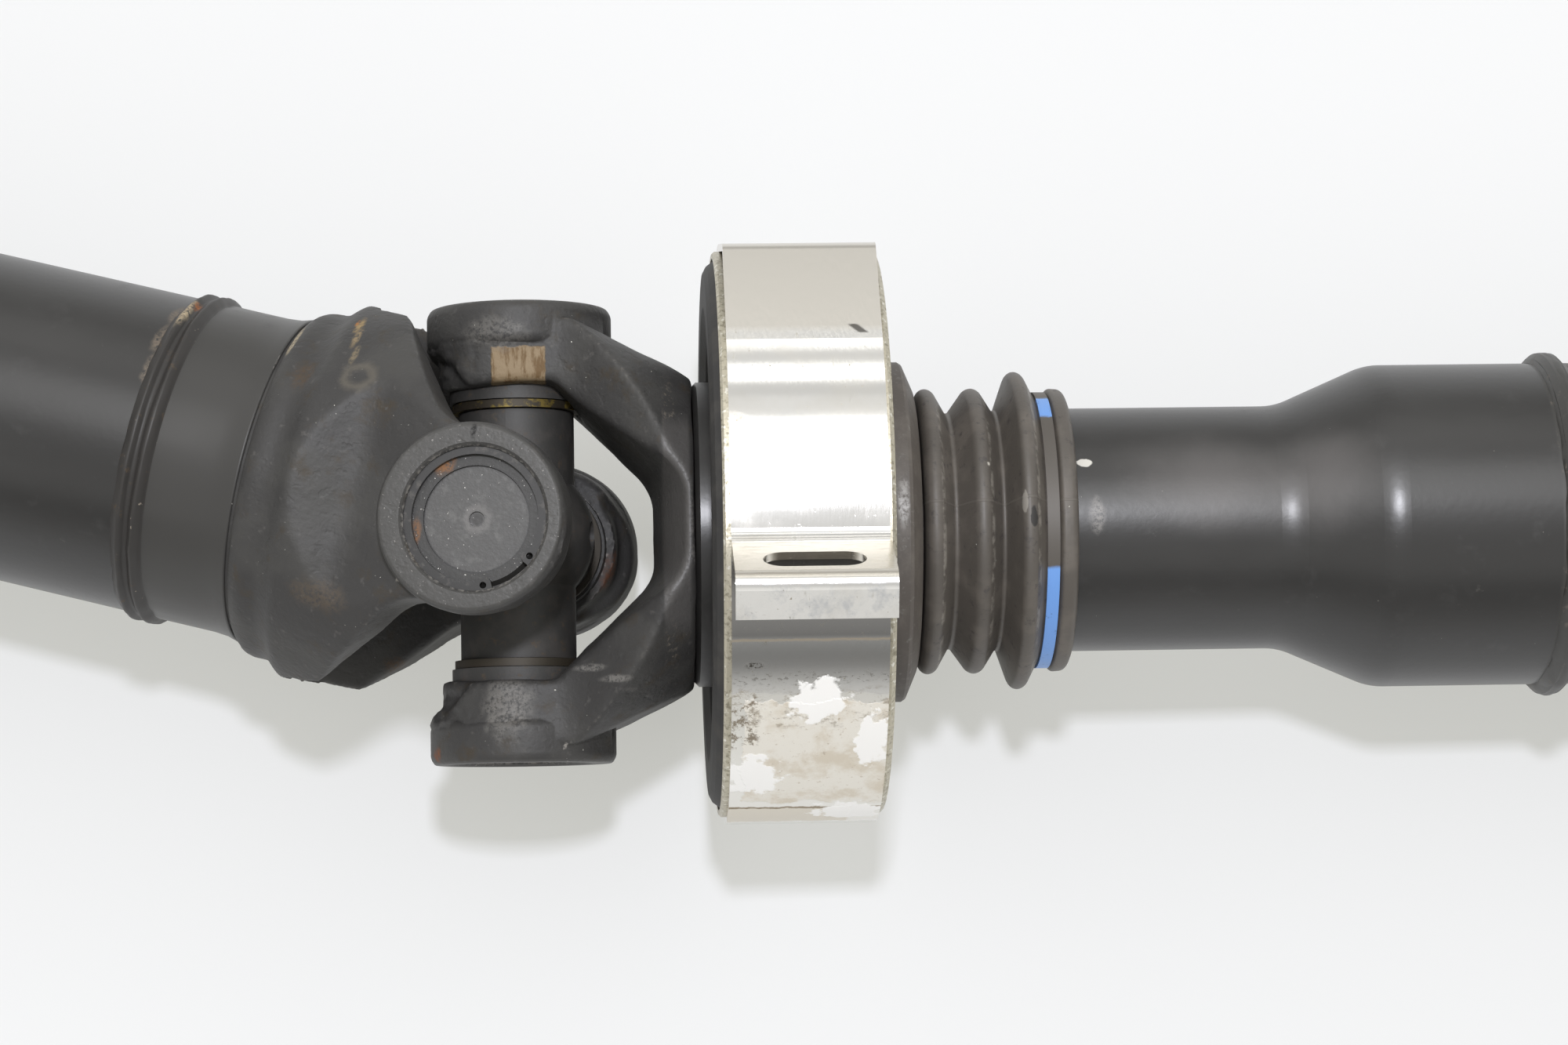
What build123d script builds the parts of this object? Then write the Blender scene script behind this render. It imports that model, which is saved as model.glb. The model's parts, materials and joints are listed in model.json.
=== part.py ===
"""Middle of a two-piece vehicle driveshaft.

A yoked stub shaft runs in a rubber-hung centre bearing. Its splines slide in the front shaft under a
bellows boot, and a cross joint carries the rear shaft. Millimetres, and +Z up where the shaft lies.
Every piece is first built about the joint centre with +X along the stub shaft. A local frame is used for
each fork: +X away from the joint centre, +Z along the ear axis.
"""
from build123d import *
from math import asin, atan, atan2, cos, degrees, floor, hypot, pi, radians, sin, sqrt, tan
import os

# Cross joint
ear_half_span = 49.0
ear_inner_half = 31.5
boss_r = 19.0
boss_chamfer = 1.2
cup_r = 14.3
cup_recess = 3.0
cup_open_half = 28.6
cup_floor = 3.0
cup_chamfer = 1.0
cup_dish_r = 11.0
cup_dish_depth = 0.7
cup_centre_r = 1.6
bore_chamfer = 1.0
trunnion_r = 9.4
needle_d = 3.0
needle_length = 12.0
needle_gap = 0.02
trunnion_end_gap = 0.15
cross_arm_r = 12.4
cross_core_r = 16.5
cross_centre_hole_r = 3.0
trunnion_drill_r = 2.5
trunnion_drill_depth = 26.0
seal_r = 13.7
seal_thickness = 1.7
seal_gap = 0.15
snap_ring_thickness = 1.5
snap_groove_r = 15.6
snap_ring_gap = 0.1
snap_ring_bore_r = 13.2
snap_ring_opening_deg = 34.0
snap_ear_r = 1.7
snap_ear_hole_r = 0.7
notch_width = 1.6
notch_depth = 1.2

# Forks
boss_proud = 3.5
boss_step = 0.5
boss_start = 39.5
ear_lip_x = 13.5
ear_lip_half = 36.8
ear_lip_run = 3.5
ear_inner_x = 7.0
ear_inner_slope = (5.0, 4.5)
crotch_half = 10.0
crotch_round = 11.0
crotch_crown_r = 90.0
crotch_swing_deg = 30.0
arm_outer_x = 12.0
arm_knee = (21.0, 41.2)
arm_hip = (28.0, 38.0)
arm_shoulder_round = 6.0
arm_bend_round = 10.0
arm_foot_round = 4.0
ear_flow_round = 12.0
ear_crown_round = 8.0
shoulder_x = 31.0
stub_crotch_x = 29.3
stub_rim = [(35.8, 34.6, 5.0), (37.6, 33.4)]
stub_face_half = 33.0
rear_crotch_x = 32.0
rear_rim = [(41.5, 42.0, 4.0), (45.5, 38.4, 4.0), (50.5, 38.4, 4.0), (55.0, 35.0)]
rear_face_half = 41.2

# Tubes and end flanges
tube_r = 35.0
tube_wall = 2.5
weld_r = 37.2
rear_weld_x = 75.6
rear_weld_width = 3.4
front_weld_x = 223.4
front_weld_width = 5.0
rear_length = 310.0
front_length = 500.0
flange_r = 45.0
flange_thickness = 9.0
flange_neck_r = 28.0
flange_neck_length = 16.0
flange_cone_length = 14.0
flange_pilot_r = 23.5
flange_pilot_depth = 2.5
flange_neck_wall = 4.5
flange_spigot_length = 6.0
flange_bolt_circle_r = 37.25
flange_bolt_hole_r = 4.05
flange_bolt_count = 4

# Stub shaft
hub_r = 24.0
hub_inset = 7.0
journal_r = 17.5
journal_start = 51.5
cap_seat_r = 17.4
spline_major_r = 16.9
spline_minor_r = 15.1
spline_teeth = 20
spline_start = 93.0
spline_end = 155.0
spline_clearance = 0.05
spline_run_in = 2.5
shield_r = 32.9
shield_wall = 1.5
shield_length = 8.5

# Centre bearing
bearing_x = 60.0
bearing_width = 17.0
bearing_outer_r = 36.0
race_wall = 5.1
inner_race_r = journal_r + race_wall
outer_race_bore_r = bearing_outer_r - race_wall
ball_r = 5.56
ball_pitch_r = (journal_r + bearing_outer_r) / 2
ball_count = 9
ball_gap = 0.06
raceway_half = 2.4
raceway_slope = 1.7
cage_wall = 2.7
cage_r_in = ball_pitch_r - cage_wall / 2
cage_r_out = ball_pitch_r + cage_wall / 2
cage_width = 13.2
pocket_gap = 0.15
seal_disc_thickness = 1.0
seal_disc_inset = 0.5
seal_disc_gap = 0.3
circlip_thickness = 1.6
circlip_depth = 1.2
circlip_height = 2.4
circlip_opening_deg = 40.0
housing_wall = 1.5
housing_overhang = 1.1
housing_lip_depth = 2.6
rubber_r = 59.5
rubber_bulge = 2.0
rubber_fold_r = 54.5
rubber_collar = 5.2
rubber_shoulder = 10.0
rubber_foot = 3.5
rubber_fold_start = 9.4
rubber_fold_length = 6.0
rubber_fold_floor = 3.5
ring_width = 35.0
ring_wall = 1.5
ring_lip = 1.8

# Bracket
strap_width = 32.0
strap_wall = 1.6
crown_r = 68.1
crown_lean_deg = 8.4
crown_bend_r = 3.0
wing_height = 19.1
wing_reach = 83.5
wing_bend_r = 3.0
lip_length = 8.4
lip_bend_r = 2.4
slot_width = 8.5
slot_length = 20.5
slot_reach = 74.0
band_flange = 5.5
band_bend_r = 3.0

# Dust cap and boot
cap_start = 71.6
cap_lip_x = 74.0
cap_r = 36.8
cap_shoulder_x = 82.7
cap_face_x = 85.2
cap_face_r = 31.0
cap_wall = 1.6
cap_hub_wall = 2.6
cap_collar_x = 91.5
boot_wall = 1.7
boot_start = 86.0
boot_crests = [(88.0, 30.7), (98.3, 30.4), (107.5, 33.9)]
boot_roots = [(92.6, 26.4), (102.7, 26.8)]
boot_crest_round = 1.1
boot_cuff_x = 111.3
boot_cuff_r = 29.2
boot_groove_end = 114.2
boot_bead_r = 30.6
boot_end = 120.0
boot_fit_gap = 0.05
clamp_wall = 0.7

# Slip tube
slip_start = 112.6
slip_r = 26.35
flare_start = 164.5
flare_end = 184.5
flare_round = 14.0
slip_bore_end = 176.0
slip_cone_length = 14.0
plug_recess = 6.0
plug_room = 2.0
plug_length = 3.0
plug_thickness = 2.0
slip_lead_in = 2.0

# Rest pose
stub_ear_tilt_deg = 11.0
joint_yaw_deg = 16.0
running_gap = 0.03


# Shared helpers


def outline(points, bevel_limit=3.0):
    """Closed face of straight runs. A third number in a point rounds that corner.

    A rounding up to the bevel limit is made as one flat bevel.
    """
    corners = []
    for i, (x, y, *rounding) in enumerate(points):
        here = Vector(x, y)
        if not rounding:
            corners.append((here, here))
            continue
        back = (Vector(*points[i - 1][:2]) - here).normalized()
        ahead = (Vector(*points[(i + 1) % len(points)][:2]) - here).normalized()
        half = radians(back.get_angle(ahead)) / 2
        reach = rounding[0] / tan(half)
        middle = here + (back + ahead).normalized() * (rounding[0] / sin(half) - rounding[0])
        if rounding[0] > bevel_limit:
            corners.append((here + back * reach, middle, here + ahead * reach))
        else:
            corners.append((here + back * reach, here + ahead * reach))
    edges = []
    for i, corner in enumerate(corners):
        if len(corner) == 3:
            edges.append(ThreePointArc(*corner))
        elif corner[0] != corner[1]:
            edges.append(Line(*corner))
        start = corner[-1]
        end = corners[(i + 1) % len(corners)][0]
        if (end - start).length > 1e-6:
            edges.append(Line(start, end))
    return make_face(edges)


def turned(points, bevel_limit=3.0):
    """Solid of revolution about X. Each point is (x, radius) or (x, radius, rounding)."""
    return revolve(outline(points, bevel_limit), axis=Axis.X, revolution_arc=360)


def along_x(x_from, x_to, radius):
    return Pos((x_from + x_to) / 2, 0, 0) * Rot(0, 90, 0) * Cylinder(radius, x_to - x_from)


def ring_x(x_from, x_to, r_in, r_out):
    return along_x(x_from, x_to, r_out) - along_x(x_from, x_to, r_in)


def along_z(z_from, z_to, radius):
    return Pos(0, 0, (z_from + z_to) / 2) * Cylinder(radius, z_to - z_from)


def ring_z(z_from, z_to, r_in, r_out):
    return along_z(z_from, z_to, r_out) - along_z(z_from, z_to, r_in)


def wedge(angle_deg, far):
    """Face that opens from the centre along +X."""
    half = far * tan(radians(angle_deg / 2))
    return make_face(Polyline((0, 0), (far, -half), (far, half), close=True))


def group(shapes):
    return Compound(children=[solid for shape in shapes for solid in shape.solids()])


def both_ends(shape):
    """The shape on +Z and its twin on -Z."""
    return [shape, Rot(180, 0, 0) * shape]


# Pieces of the cross joint, built on the local +Z ear


def cup_end():
    return ear_half_span - cup_recess


def cup():
    needle_outer_r = trunnion_r + needle_d + 2 * needle_gap
    body = along_z(cup_open_half, cup_end(), cup_r)
    body = chamfer(body.edges().group_by(Axis.Z)[-1], cup_chamfer)
    body -= along_z(cup_open_half, cup_end() - cup_floor, needle_outer_r)
    body -= along_z(cup_end() - cup_dish_depth, cup_end(), cup_dish_r)
    return body - along_z(cup_end() - 2 * cup_dish_depth, cup_end(), cup_centre_r)


def needle_set():
    pitch_r = trunnion_r + needle_gap + needle_d / 2
    count = floor(pi / asin((needle_d / 2 + needle_gap) / pitch_r))
    top = cup_end() - cup_floor - 2 * needle_gap
    needle = along_z(top - needle_length, top, needle_d / 2)
    return [Rot(0, 0, 360 * i / count) * Pos(pitch_r, 0, 0) * needle for i in range(count)]


def trunnion_seal():
    top = cup_open_half - seal_gap
    return ring_z(top - seal_thickness, top, trunnion_r + running_gap, seal_r)


def snap_ring():
    """Open ring that holds a cup in. Its two eyes take the pliers."""
    bottom = cup_end() + snap_ring_gap / 2
    top = bottom + snap_ring_thickness
    outer_r = snap_groove_r - snap_ring_gap
    ring = ring_z(bottom, top, snap_ring_bore_r, outer_r)
    opening = extrude(wedge(snap_ring_opening_deg, 2 * outer_r), amount=snap_ring_thickness)
    ring -= Pos(0, 0, bottom) * opening
    half_opening = radians(snap_ring_opening_deg / 2)
    eye_r = outer_r - snap_ear_r
    for side in (-1, 1):
        angle = side * (half_opening + snap_ear_r / eye_r)
        place = Pos(eye_r * cos(angle), eye_r * sin(angle), 0)
        ring += place * along_z(bottom, top, snap_ear_r)
        ring -= place * along_z(bottom, top, snap_ear_hole_r)
    return ring


def cross():
    trunnion_end = cup_end() - cup_floor - trunnion_end_gap
    arm_end = cup_open_half - seal_thickness - 2 * seal_gap
    trunnion = along_z(0, trunnion_end, trunnion_r)
    trunnion = chamfer(trunnion.edges().group_by(Axis.Z)[-1], boss_chamfer)
    arm = trunnion + along_z(0, arm_end, cross_arm_r)
    drill = along_z(trunnion_end - trunnion_drill_depth, trunnion_end, trunnion_drill_r)
    body = Sphere(cross_core_r)
    turns = [Rot(0, quarter * 90, 0) for quarter in range(4)]
    for turn in turns:
        body += turn * arm
    for turn in turns:
        body -= turn * drill
    return body - Rot(90, 0, 0) * Cylinder(cross_centre_hole_r, 2 * cross_core_r)


# Forks


def fork_side(rim):
    """Outer section through both arms: ears, knees and hips."""
    arm_top = ear_half_span - boss_proud
    upper = [
        (ear_lip_run - ear_lip_x, ear_inner_half),
        (-ear_lip_x, ear_lip_half),
        (-boss_r, boss_start),
        (-boss_r, arm_top),
        (arm_outer_x, arm_top, arm_shoulder_round),
        (*arm_knee, arm_bend_round),
        (*arm_hip, arm_bend_round),
        (rim[0][0], rim[0][1], arm_foot_round),
        (rim[-1][0], rim[0][1]),
    ]
    lower = [(x, -z, *rounding) for x, z, *rounding in reversed(upper)]
    return outline(upper + lower)


def fork_gap(crotch_x):
    """Space between the arms: an arch swung about a far axis, which crowns the crotch."""
    arch = [
        (-2 * boss_r, ear_inner_half),
        (ear_inner_x, ear_inner_half),
        (ear_inner_x + ear_inner_slope[0], ear_inner_half - ear_inner_slope[1]),
        (crotch_x, crotch_half, crotch_round),
    ]
    lower = [(x, -z, *rounding) for x, z, *rounding in reversed(arch)]
    face = Plane.XZ * outline(arch + lower)
    axis = Axis((crotch_x + crotch_crown_r, 0, 0), (0, 0, 1))
    return revolve(face.rotate(axis, -crotch_swing_deg), axis, 2 * crotch_swing_deg)


def fork_face(half_width, back_x):
    """Outline seen along the ears: arms a little slimmer than their bosses that spread to the base."""
    arm_r = boss_r - boss_step
    upper = [
        (0, arm_r),
        (arm_outer_x, arm_r, ear_flow_round),
        (shoulder_x, half_width, arm_shoulder_round),
        (back_x, half_width),
    ]
    lower = [(x, -y, *rounding) for x, y, *rounding in reversed(upper)]
    return outline(upper + lower) + Circle(arm_r)


def fork(crotch_x, face_half, rim):
    """Forged fork with finished ears: crossed outlines, a round envelope, then the bores."""
    back_x = rim[-1][0]
    body = extrude(Plane.XZ * fork_side(rim), amount=face_half + 1, both=True)
    body &= extrude(fork_face(face_half, back_x), amount=ear_half_span, both=True)
    crown = (arm_outer_x, ear_half_span, ear_crown_round)
    envelope = [(-boss_r, 0), (-boss_r, ear_half_span), crown, *rim]
    body &= turned(envelope + [(back_x, 0)])
    body -= fork_gap(crotch_x)
    boss = along_z(boss_start + boss_step, ear_half_span, boss_r)
    boss = chamfer(boss.edges().group_by(Axis.Z)[-1], boss_chamfer)
    for ear in both_ends(boss):
        body += ear
    for cut in ear_cuts():
        for ear in both_ends(cut):
            body -= ear
    return body


def ear_cuts():
    """Cup bore, its mouth chamfer, the snap-ring groove and the notch beside it."""
    bore = along_z(0, ear_half_span, cup_r)
    mouth_r = cup_r + bore_chamfer
    mouth = Pos(0, 0, ear_half_span - bore_chamfer / 2) * Cone(cup_r, mouth_r, bore_chamfer)
    groove_top = cup_end() + snap_ring_thickness + snap_ring_gap
    groove = along_z(cup_end(), groove_top, snap_groove_r)
    notch_length = boss_r - cup_r - 2 * boss_chamfer
    notch = Box(notch_width, notch_length, notch_depth)
    notch = Pos(0, cup_r + notch_length / 2, ear_half_span - notch_depth / 2) * notch
    return [bore, mouth, groove, notch]


def spline_outline(extra):
    """Straight-sided teeth. `extra` opens the profile for the sleeve."""
    pitch = 2 * pi / spline_teeth
    points = []
    for i in range(spline_teeth):
        for radius, offset in (
            (spline_minor_r, -0.33),
            (spline_major_r, -0.19),
            (spline_major_r, 0.19),
            (spline_minor_r, 0.33),
        ):
            side = 1 if offset > 0 else -1
            angle = i * pitch + offset * pitch + side * extra / spline_minor_r
            r = radius + extra
            points.append((r * cos(angle), r * sin(angle)))
    return make_face(Polyline(*points, close=True))


def stub_yoke():
    body = Location(stub_plane) * fork(stub_crotch_x, stub_face_half, stub_rim)
    shoulder_r = inner_race_r - 1
    circlip_x = bearing_x + bearing_width / 2
    groove_r = journal_r - circlip_depth
    shaft = turned(
        [
            (stub_crotch_x + hub_inset, 0),
            (stub_crotch_x + hub_inset, hub_r),
            (journal_start - 3, hub_r, 0.8),
            (journal_start, shoulder_r),
            (journal_start, journal_r),
            (circlip_x + 0.05, journal_r),
            (circlip_x + 0.05, groove_r),
            (circlip_x + circlip_thickness + 0.15, groove_r),
            (circlip_x + circlip_thickness + 0.15, cap_seat_r),
            (spline_start, cap_seat_r),
            (spline_start, spline_minor_r),
            (spline_end - 2, spline_minor_r),
            (spline_end, spline_minor_r - 2),
            (spline_end, 0),
        ]
    )
    teeth = Location(Plane.YZ.offset(spline_start)) * extrude(
        spline_outline(0), amount=spline_end - spline_start
    )
    teeth &= turned(
        [
            (spline_start, 0),
            (spline_start, spline_major_r),
            (spline_end - spline_run_in, spline_major_r),
            (spline_end, spline_major_r - spline_run_in),
            (spline_end, 0),
        ]
    )
    return body + shaft + teeth


def rear_yoke():
    """Fork, its round body and the sleeve that is welded to the rear tube."""
    body = fork(rear_crotch_x, rear_face_half, rear_rim)
    sleeve_x = rear_rim[-1][0]
    weld_end = rear_weld_x + rear_weld_width / 2
    sleeve = turned(
        [
            (rear_crotch_x + 6, 0),
            (rear_crotch_x + 6, tube_r - tube_wall),
            (sleeve_x - 2, tube_r),
            (weld_end - rear_weld_width, tube_r),
            (weld_end - rear_weld_width, weld_r, 0.9),
            (weld_end, weld_r, 0.9),
            (weld_end, tube_r - tube_wall),
            (sleeve_x + 6, tube_r - tube_wall, 3.0),
            (sleeve_x, tube_r - 2 * tube_wall, 3.0),
            (sleeve_x, 0),
        ]
    )
    return body + sleeve


# Tubes and flanges


def tube(x_from, x_to):
    return ring_x(x_from, x_to, tube_r - tube_wall, tube_r)


def flange(face_x):
    """Weld flange: a cone from the tube, a neck that clears the nuts, and the bolted disc."""
    disc_x = face_x - flange_thickness
    neck_x = disc_x - flange_neck_length
    start = neck_x - flange_cone_length
    spigot_r = tube_r - tube_wall
    bore_r = spigot_r - tube_wall
    neck_bore_r = flange_neck_r - 2 * flange_neck_wall
    body = turned(
        [
            (start - flange_spigot_length, bore_r),
            (start - flange_spigot_length, spigot_r),
            (start, spigot_r),
            (start, tube_r),
            (start + 2, tube_r, 2.0),
            (neck_x, flange_neck_r, 3.0),
            (disc_x, flange_neck_r, 2.0),
            (disc_x, flange_r, 0.8),
            (face_x, flange_r, 0.8),
            (face_x, flange_pilot_r),
            (face_x - flange_pilot_depth, flange_pilot_r),
            (face_x - flange_pilot_depth, neck_bore_r),
            (neck_x, neck_bore_r),
            (start, bore_r),
        ]
    )
    hole = Pos(0, flange_bolt_circle_r, 0) * along_x(disc_x - 1, face_x + 1, flange_bolt_hole_r)
    for i in range(flange_bolt_count):
        body -= Rot(360 * (i + 0.5) / flange_bolt_count, 0, 0) * hole
    return body


def flange_start(face_x):
    return face_x - flange_thickness - flange_neck_length - flange_cone_length


def slip_tube():
    """Splined sleeve that flares to the tube's size and ends at the friction weld."""
    weld_start = front_weld_x - front_weld_width / 2
    weld_end = front_weld_x + front_weld_width / 2
    bore_r = spline_minor_r - 0.6
    cavity_r = tube_r - tube_wall
    plug_r = spline_major_r + plug_room
    body = turned(
        [
            (slip_start, bore_r),
            (slip_start, slip_r, 1.0),
            (flare_start, slip_r, flare_round),
            (flare_end, tube_r, flare_round),
            (weld_start, tube_r),
            (weld_start, weld_r, 1.2),
            (weld_end, weld_r, 1.2),
            (weld_end, cavity_r),
            (slip_bore_end + slip_cone_length, cavity_r),
            (slip_bore_end, plug_r, 3.0),
            (slip_bore_end - plug_recess, plug_r),
            (slip_bore_end - plug_recess, bore_r),
        ]
    )
    teeth_length = slip_bore_end - slip_start
    body -= Location(Plane.YZ.offset(slip_start)) * extrude(
        spline_outline(spline_clearance), amount=teeth_length
    )
    lead_in = turned(
        [
            (slip_start, 0),
            (slip_start, spline_major_r + slip_lead_in),
            (slip_start + slip_lead_in, spline_major_r + spline_clearance),
            (slip_start + slip_lead_in, 0),
        ]
    )
    return body - lead_in


def spline_plug():
    """Domed disc pressed in behind the splines."""
    start = slip_bore_end - plug_recess
    plug_r = spline_major_r + plug_room
    return turned(
        [
            (start, 0),
            (start, plug_r),
            (start + plug_length, plug_r),
            (start + plug_length, plug_r - plug_thickness),
            (start + plug_thickness, plug_r - plug_thickness, 0.8),
            (start + plug_thickness, 0),
        ]
    )


# Parts on the stub shaft


def dust_shield():
    start = stub_rim[-1][0] + 0.1
    return turned(
        [
            (start, hub_r),
            (start, shield_r, 1.0),
            (start + shield_length - shield_wall, shield_r),
            (start + shield_length - shield_wall, shield_r - shield_wall),
            (start + shield_wall, shield_r - shield_wall),
            (start + shield_wall, hub_r),
        ]
    )


def dust_cap():
    hub_outer = cap_seat_r + cap_hub_wall
    return turned(
        [
            (cap_start, cap_seat_r),
            (cap_start, hub_outer),
            (cap_face_x - cap_wall, hub_outer),
            (cap_face_x - cap_wall, cap_face_r - cap_wall / 2),
            (cap_shoulder_x - cap_wall / 2, cap_r - cap_wall),
            (cap_lip_x, cap_r - cap_wall),
            (cap_lip_x, cap_r),
            (cap_shoulder_x, cap_r, 0.8),
            (cap_face_x, cap_face_r, 0.6),
            (cap_face_x, hub_outer),
            (cap_collar_x, hub_outer),
            (cap_collar_x, cap_seat_r),
        ]
    )


def bearing_circlip():
    start = bearing_x + bearing_width / 2 + 0.1
    inner = journal_r - circlip_depth
    clip = ring_x(start, start + circlip_thickness, inner, inner + circlip_height)
    opening = extrude(wedge(circlip_opening_deg, 2 * journal_r), amount=circlip_thickness)
    return clip - Location(Plane.YZ.offset(start)) * opening


def boot():
    """Rubber bellows. The inner wall follows the outer folds one wall thickness in."""
    hub_outer = cap_seat_r + cap_hub_wall
    outer = [(boot_start, boot_crests[0][1] - 2.4)]
    inner = []
    for i, (x, r) in enumerate(boot_crests):
        outer.append((x, r, boot_crest_round))
        inner.append((x, r - 1.5 * boot_wall))
        if i < len(boot_roots):
            root_x, root_r = boot_roots[i]
            outer.append((root_x, root_r, boot_crest_round))
            inner.append((root_x, root_r - boot_wall))
    cuff = [
        (boot_cuff_x, boot_cuff_r),
        (boot_groove_end, boot_cuff_r),
        (boot_groove_end + 0.8, boot_bead_r),
        (boot_end - 0.9, boot_bead_r),
        (boot_end, boot_cuff_r),
        (boot_end, slip_r + boot_fit_gap),
        (boot_cuff_x, slip_r + boot_fit_gap),
    ]
    collar = [
        (boot_start + boot_wall, boot_crests[0][1] - 3.4),
        (boot_start + boot_wall, hub_outer + boot_wall),
        (cap_collar_x, hub_outer + boot_wall),
        (cap_collar_x, hub_outer),
        (boot_start, hub_outer),
    ]
    return turned(outer + cuff + inner[::-1] + collar)


def boot_clamp():
    """Band round the boot's front cuff, with its folded ear."""
    start = boot_cuff_x + 0.2
    end = boot_groove_end - 0.1
    seat_r = boot_cuff_r + boot_fit_gap
    band = ring_x(start, end, seat_r, seat_r + clamp_wall)
    ear = Pos((start + end) / 2, 0, -seat_r - clamp_wall) * Box(end - start, 4.5, 2 * clamp_wall)
    ear -= along_x(start - 1, end + 1, seat_r)
    return band + ear


# Centre bearing


def inner_race():
    start = bearing_x - bearing_width / 2
    end = bearing_x + bearing_width / 2
    groove_r = ball_pitch_r - ball_r - ball_gap
    return turned(
        [
            (start, journal_r),
            (start, inner_race_r, 0.5),
            (bearing_x - raceway_half - raceway_slope, inner_race_r),
            (bearing_x - raceway_half, groove_r),
            (bearing_x + raceway_half, groove_r),
            (bearing_x + raceway_half + raceway_slope, inner_race_r),
            (end, inner_race_r, 0.5),
            (end, journal_r),
        ]
    )


def outer_race():
    start = bearing_x - bearing_width / 2
    end = bearing_x + bearing_width / 2
    groove_r = ball_pitch_r + ball_r + ball_gap
    return turned(
        [
            (start, bearing_outer_r, 0.5),
            (end, bearing_outer_r, 0.5),
            (end, outer_race_bore_r),
            (bearing_x + raceway_half + raceway_slope, outer_race_bore_r),
            (bearing_x + raceway_half, groove_r),
            (bearing_x - raceway_half, groove_r),
            (bearing_x - raceway_half - raceway_slope, outer_race_bore_r),
            (start, outer_race_bore_r),
        ]
    )


def ball_places():
    return [Rot(360 * i / ball_count, 0, 0) * Pos(bearing_x, 0, ball_pitch_r) for i in range(ball_count)]


def ball_cage():
    cage = ring_x(bearing_x - cage_width / 2, bearing_x + cage_width / 2, cage_r_in, cage_r_out)
    for place in ball_places():
        cage -= place * Cylinder(ball_r + pocket_gap, 3 * (cage_r_out - cage_r_in))
    return cage


def seal_disc(side):
    outer_x = bearing_x + side * (bearing_width / 2 - seal_disc_inset)
    inner_x = outer_x - side * seal_disc_thickness
    return ring_x(min(outer_x, inner_x), max(outer_x, inner_x), inner_race_r + seal_disc_gap, outer_race_bore_r)


def bearing_housing():
    """Pressed cup round the bearing, inside the rubber."""
    start = bearing_x - bearing_width / 2 - housing_overhang
    end = bearing_x + bearing_width / 2 + housing_overhang
    outer = bearing_outer_r + housing_wall
    lip_r = bearing_outer_r - housing_lip_depth
    return turned(
        [
            (start, lip_r),
            (start, outer, 0.8),
            (end, outer),
            (end, bearing_outer_r),
            (start + housing_overhang - 0.05, bearing_outer_r),
            (start + housing_overhang - 0.05, lip_r),
        ]
    )


def rubber_mount():
    """Rubber ring with one deep fold, bonded between the housing and the outer ring."""
    start = bearing_x - bearing_width / 2 - housing_overhang
    end = bearing_x + bearing_width / 2 + housing_overhang
    inner = bearing_outer_r + housing_wall
    ring_start = bearing_x - ring_width / 2
    ring_end = bearing_x + ring_width / 2
    bulge_x = ring_start - rubber_bulge
    collar_r = inner + rubber_collar
    return turned(
        [
            (start, inner),
            (start, inner + rubber_foot, 2.0),
            (bulge_x, inner + rubber_shoulder, 3.0),
            (bulge_x, rubber_r - 2.2, 1.8),
            (ring_start + 1, rubber_r),
            (ring_end - 3, rubber_r),
            (ring_end - 3, rubber_fold_r + 1, 1.5),
            (bulge_x + rubber_fold_start, rubber_fold_r, 3.0),
            (bulge_x + rubber_fold_length, rubber_fold_r - rubber_fold_floor, 3.0),
            (bulge_x + rubber_fold_start + rubber_fold_length, collar_r + 1.3, 3.0),
            (end, collar_r, 1.5),
            (end, inner),
        ]
    )


def mount_ring():
    start = bearing_x - ring_width / 2
    end = bearing_x + ring_width / 2
    outer = rubber_r + ring_wall
    return turned(
        [
            (start, rubber_r),
            (start, outer, 0.5),
            (end, outer, 0.9),
            (end, rubber_r - ring_lip),
            (end - ring_wall, rubber_r - ring_lip),
            (end - ring_wall, rubber_r),
        ]
    )


# Bracket, drawn in its own plane: u towards the near wing, v up through the crown


def strap_middle_r():
    return rubber_r + ring_wall + strap_wall / 2


def on_circle(radius, angle):
    return Vector(radius * cos(angle), radius * sin(angle))


def wing_path(height, reach, bend_r, tip):
    """Edges from a turned-down tip along a wing to where its bend meets the strap's circle."""
    ring_r = strap_middle_r()
    bend = Vector(sqrt((ring_r + bend_r) ** 2 - (height + bend_r) ** 2), height + bend_r)
    touch = bend * (ring_r / (ring_r + bend_r))
    foot = Vector(bend.X, height)
    mid_angle = (atan2(touch.Y - bend.Y, touch.X - bend.X) % (2 * pi) + 1.5 * pi) / 2
    middle = bend + on_circle(bend_r, mid_angle)
    edges = []
    if tip:
        elbow = Vector(reach - lip_bend_r, height)
        turn_centre = Vector(reach - lip_bend_r, height - lip_bend_r)
        edges.append(Line((reach, height - lip_length), (reach, height - lip_bend_r)))
        edges.append(ThreePointArc(edges[0] @ 1, turn_centre + on_circle(lip_bend_r, pi / 4), elbow))
        edges.append(Line(elbow, foot))
    else:
        edges.append(Line((reach, height), foot))
    edges.append(ThreePointArc(foot, middle, touch))
    return edges, touch


def sheet(edges, width):
    """Bent sheet of strap thickness, centred on the bearing."""
    profile = trace(edges, line_width=strap_wall)
    return extrude(profile, amount=width / 2, both=True)


def mirrored(edges):
    return [edge.mirror(Plane.YZ) for edge in edges]


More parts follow.
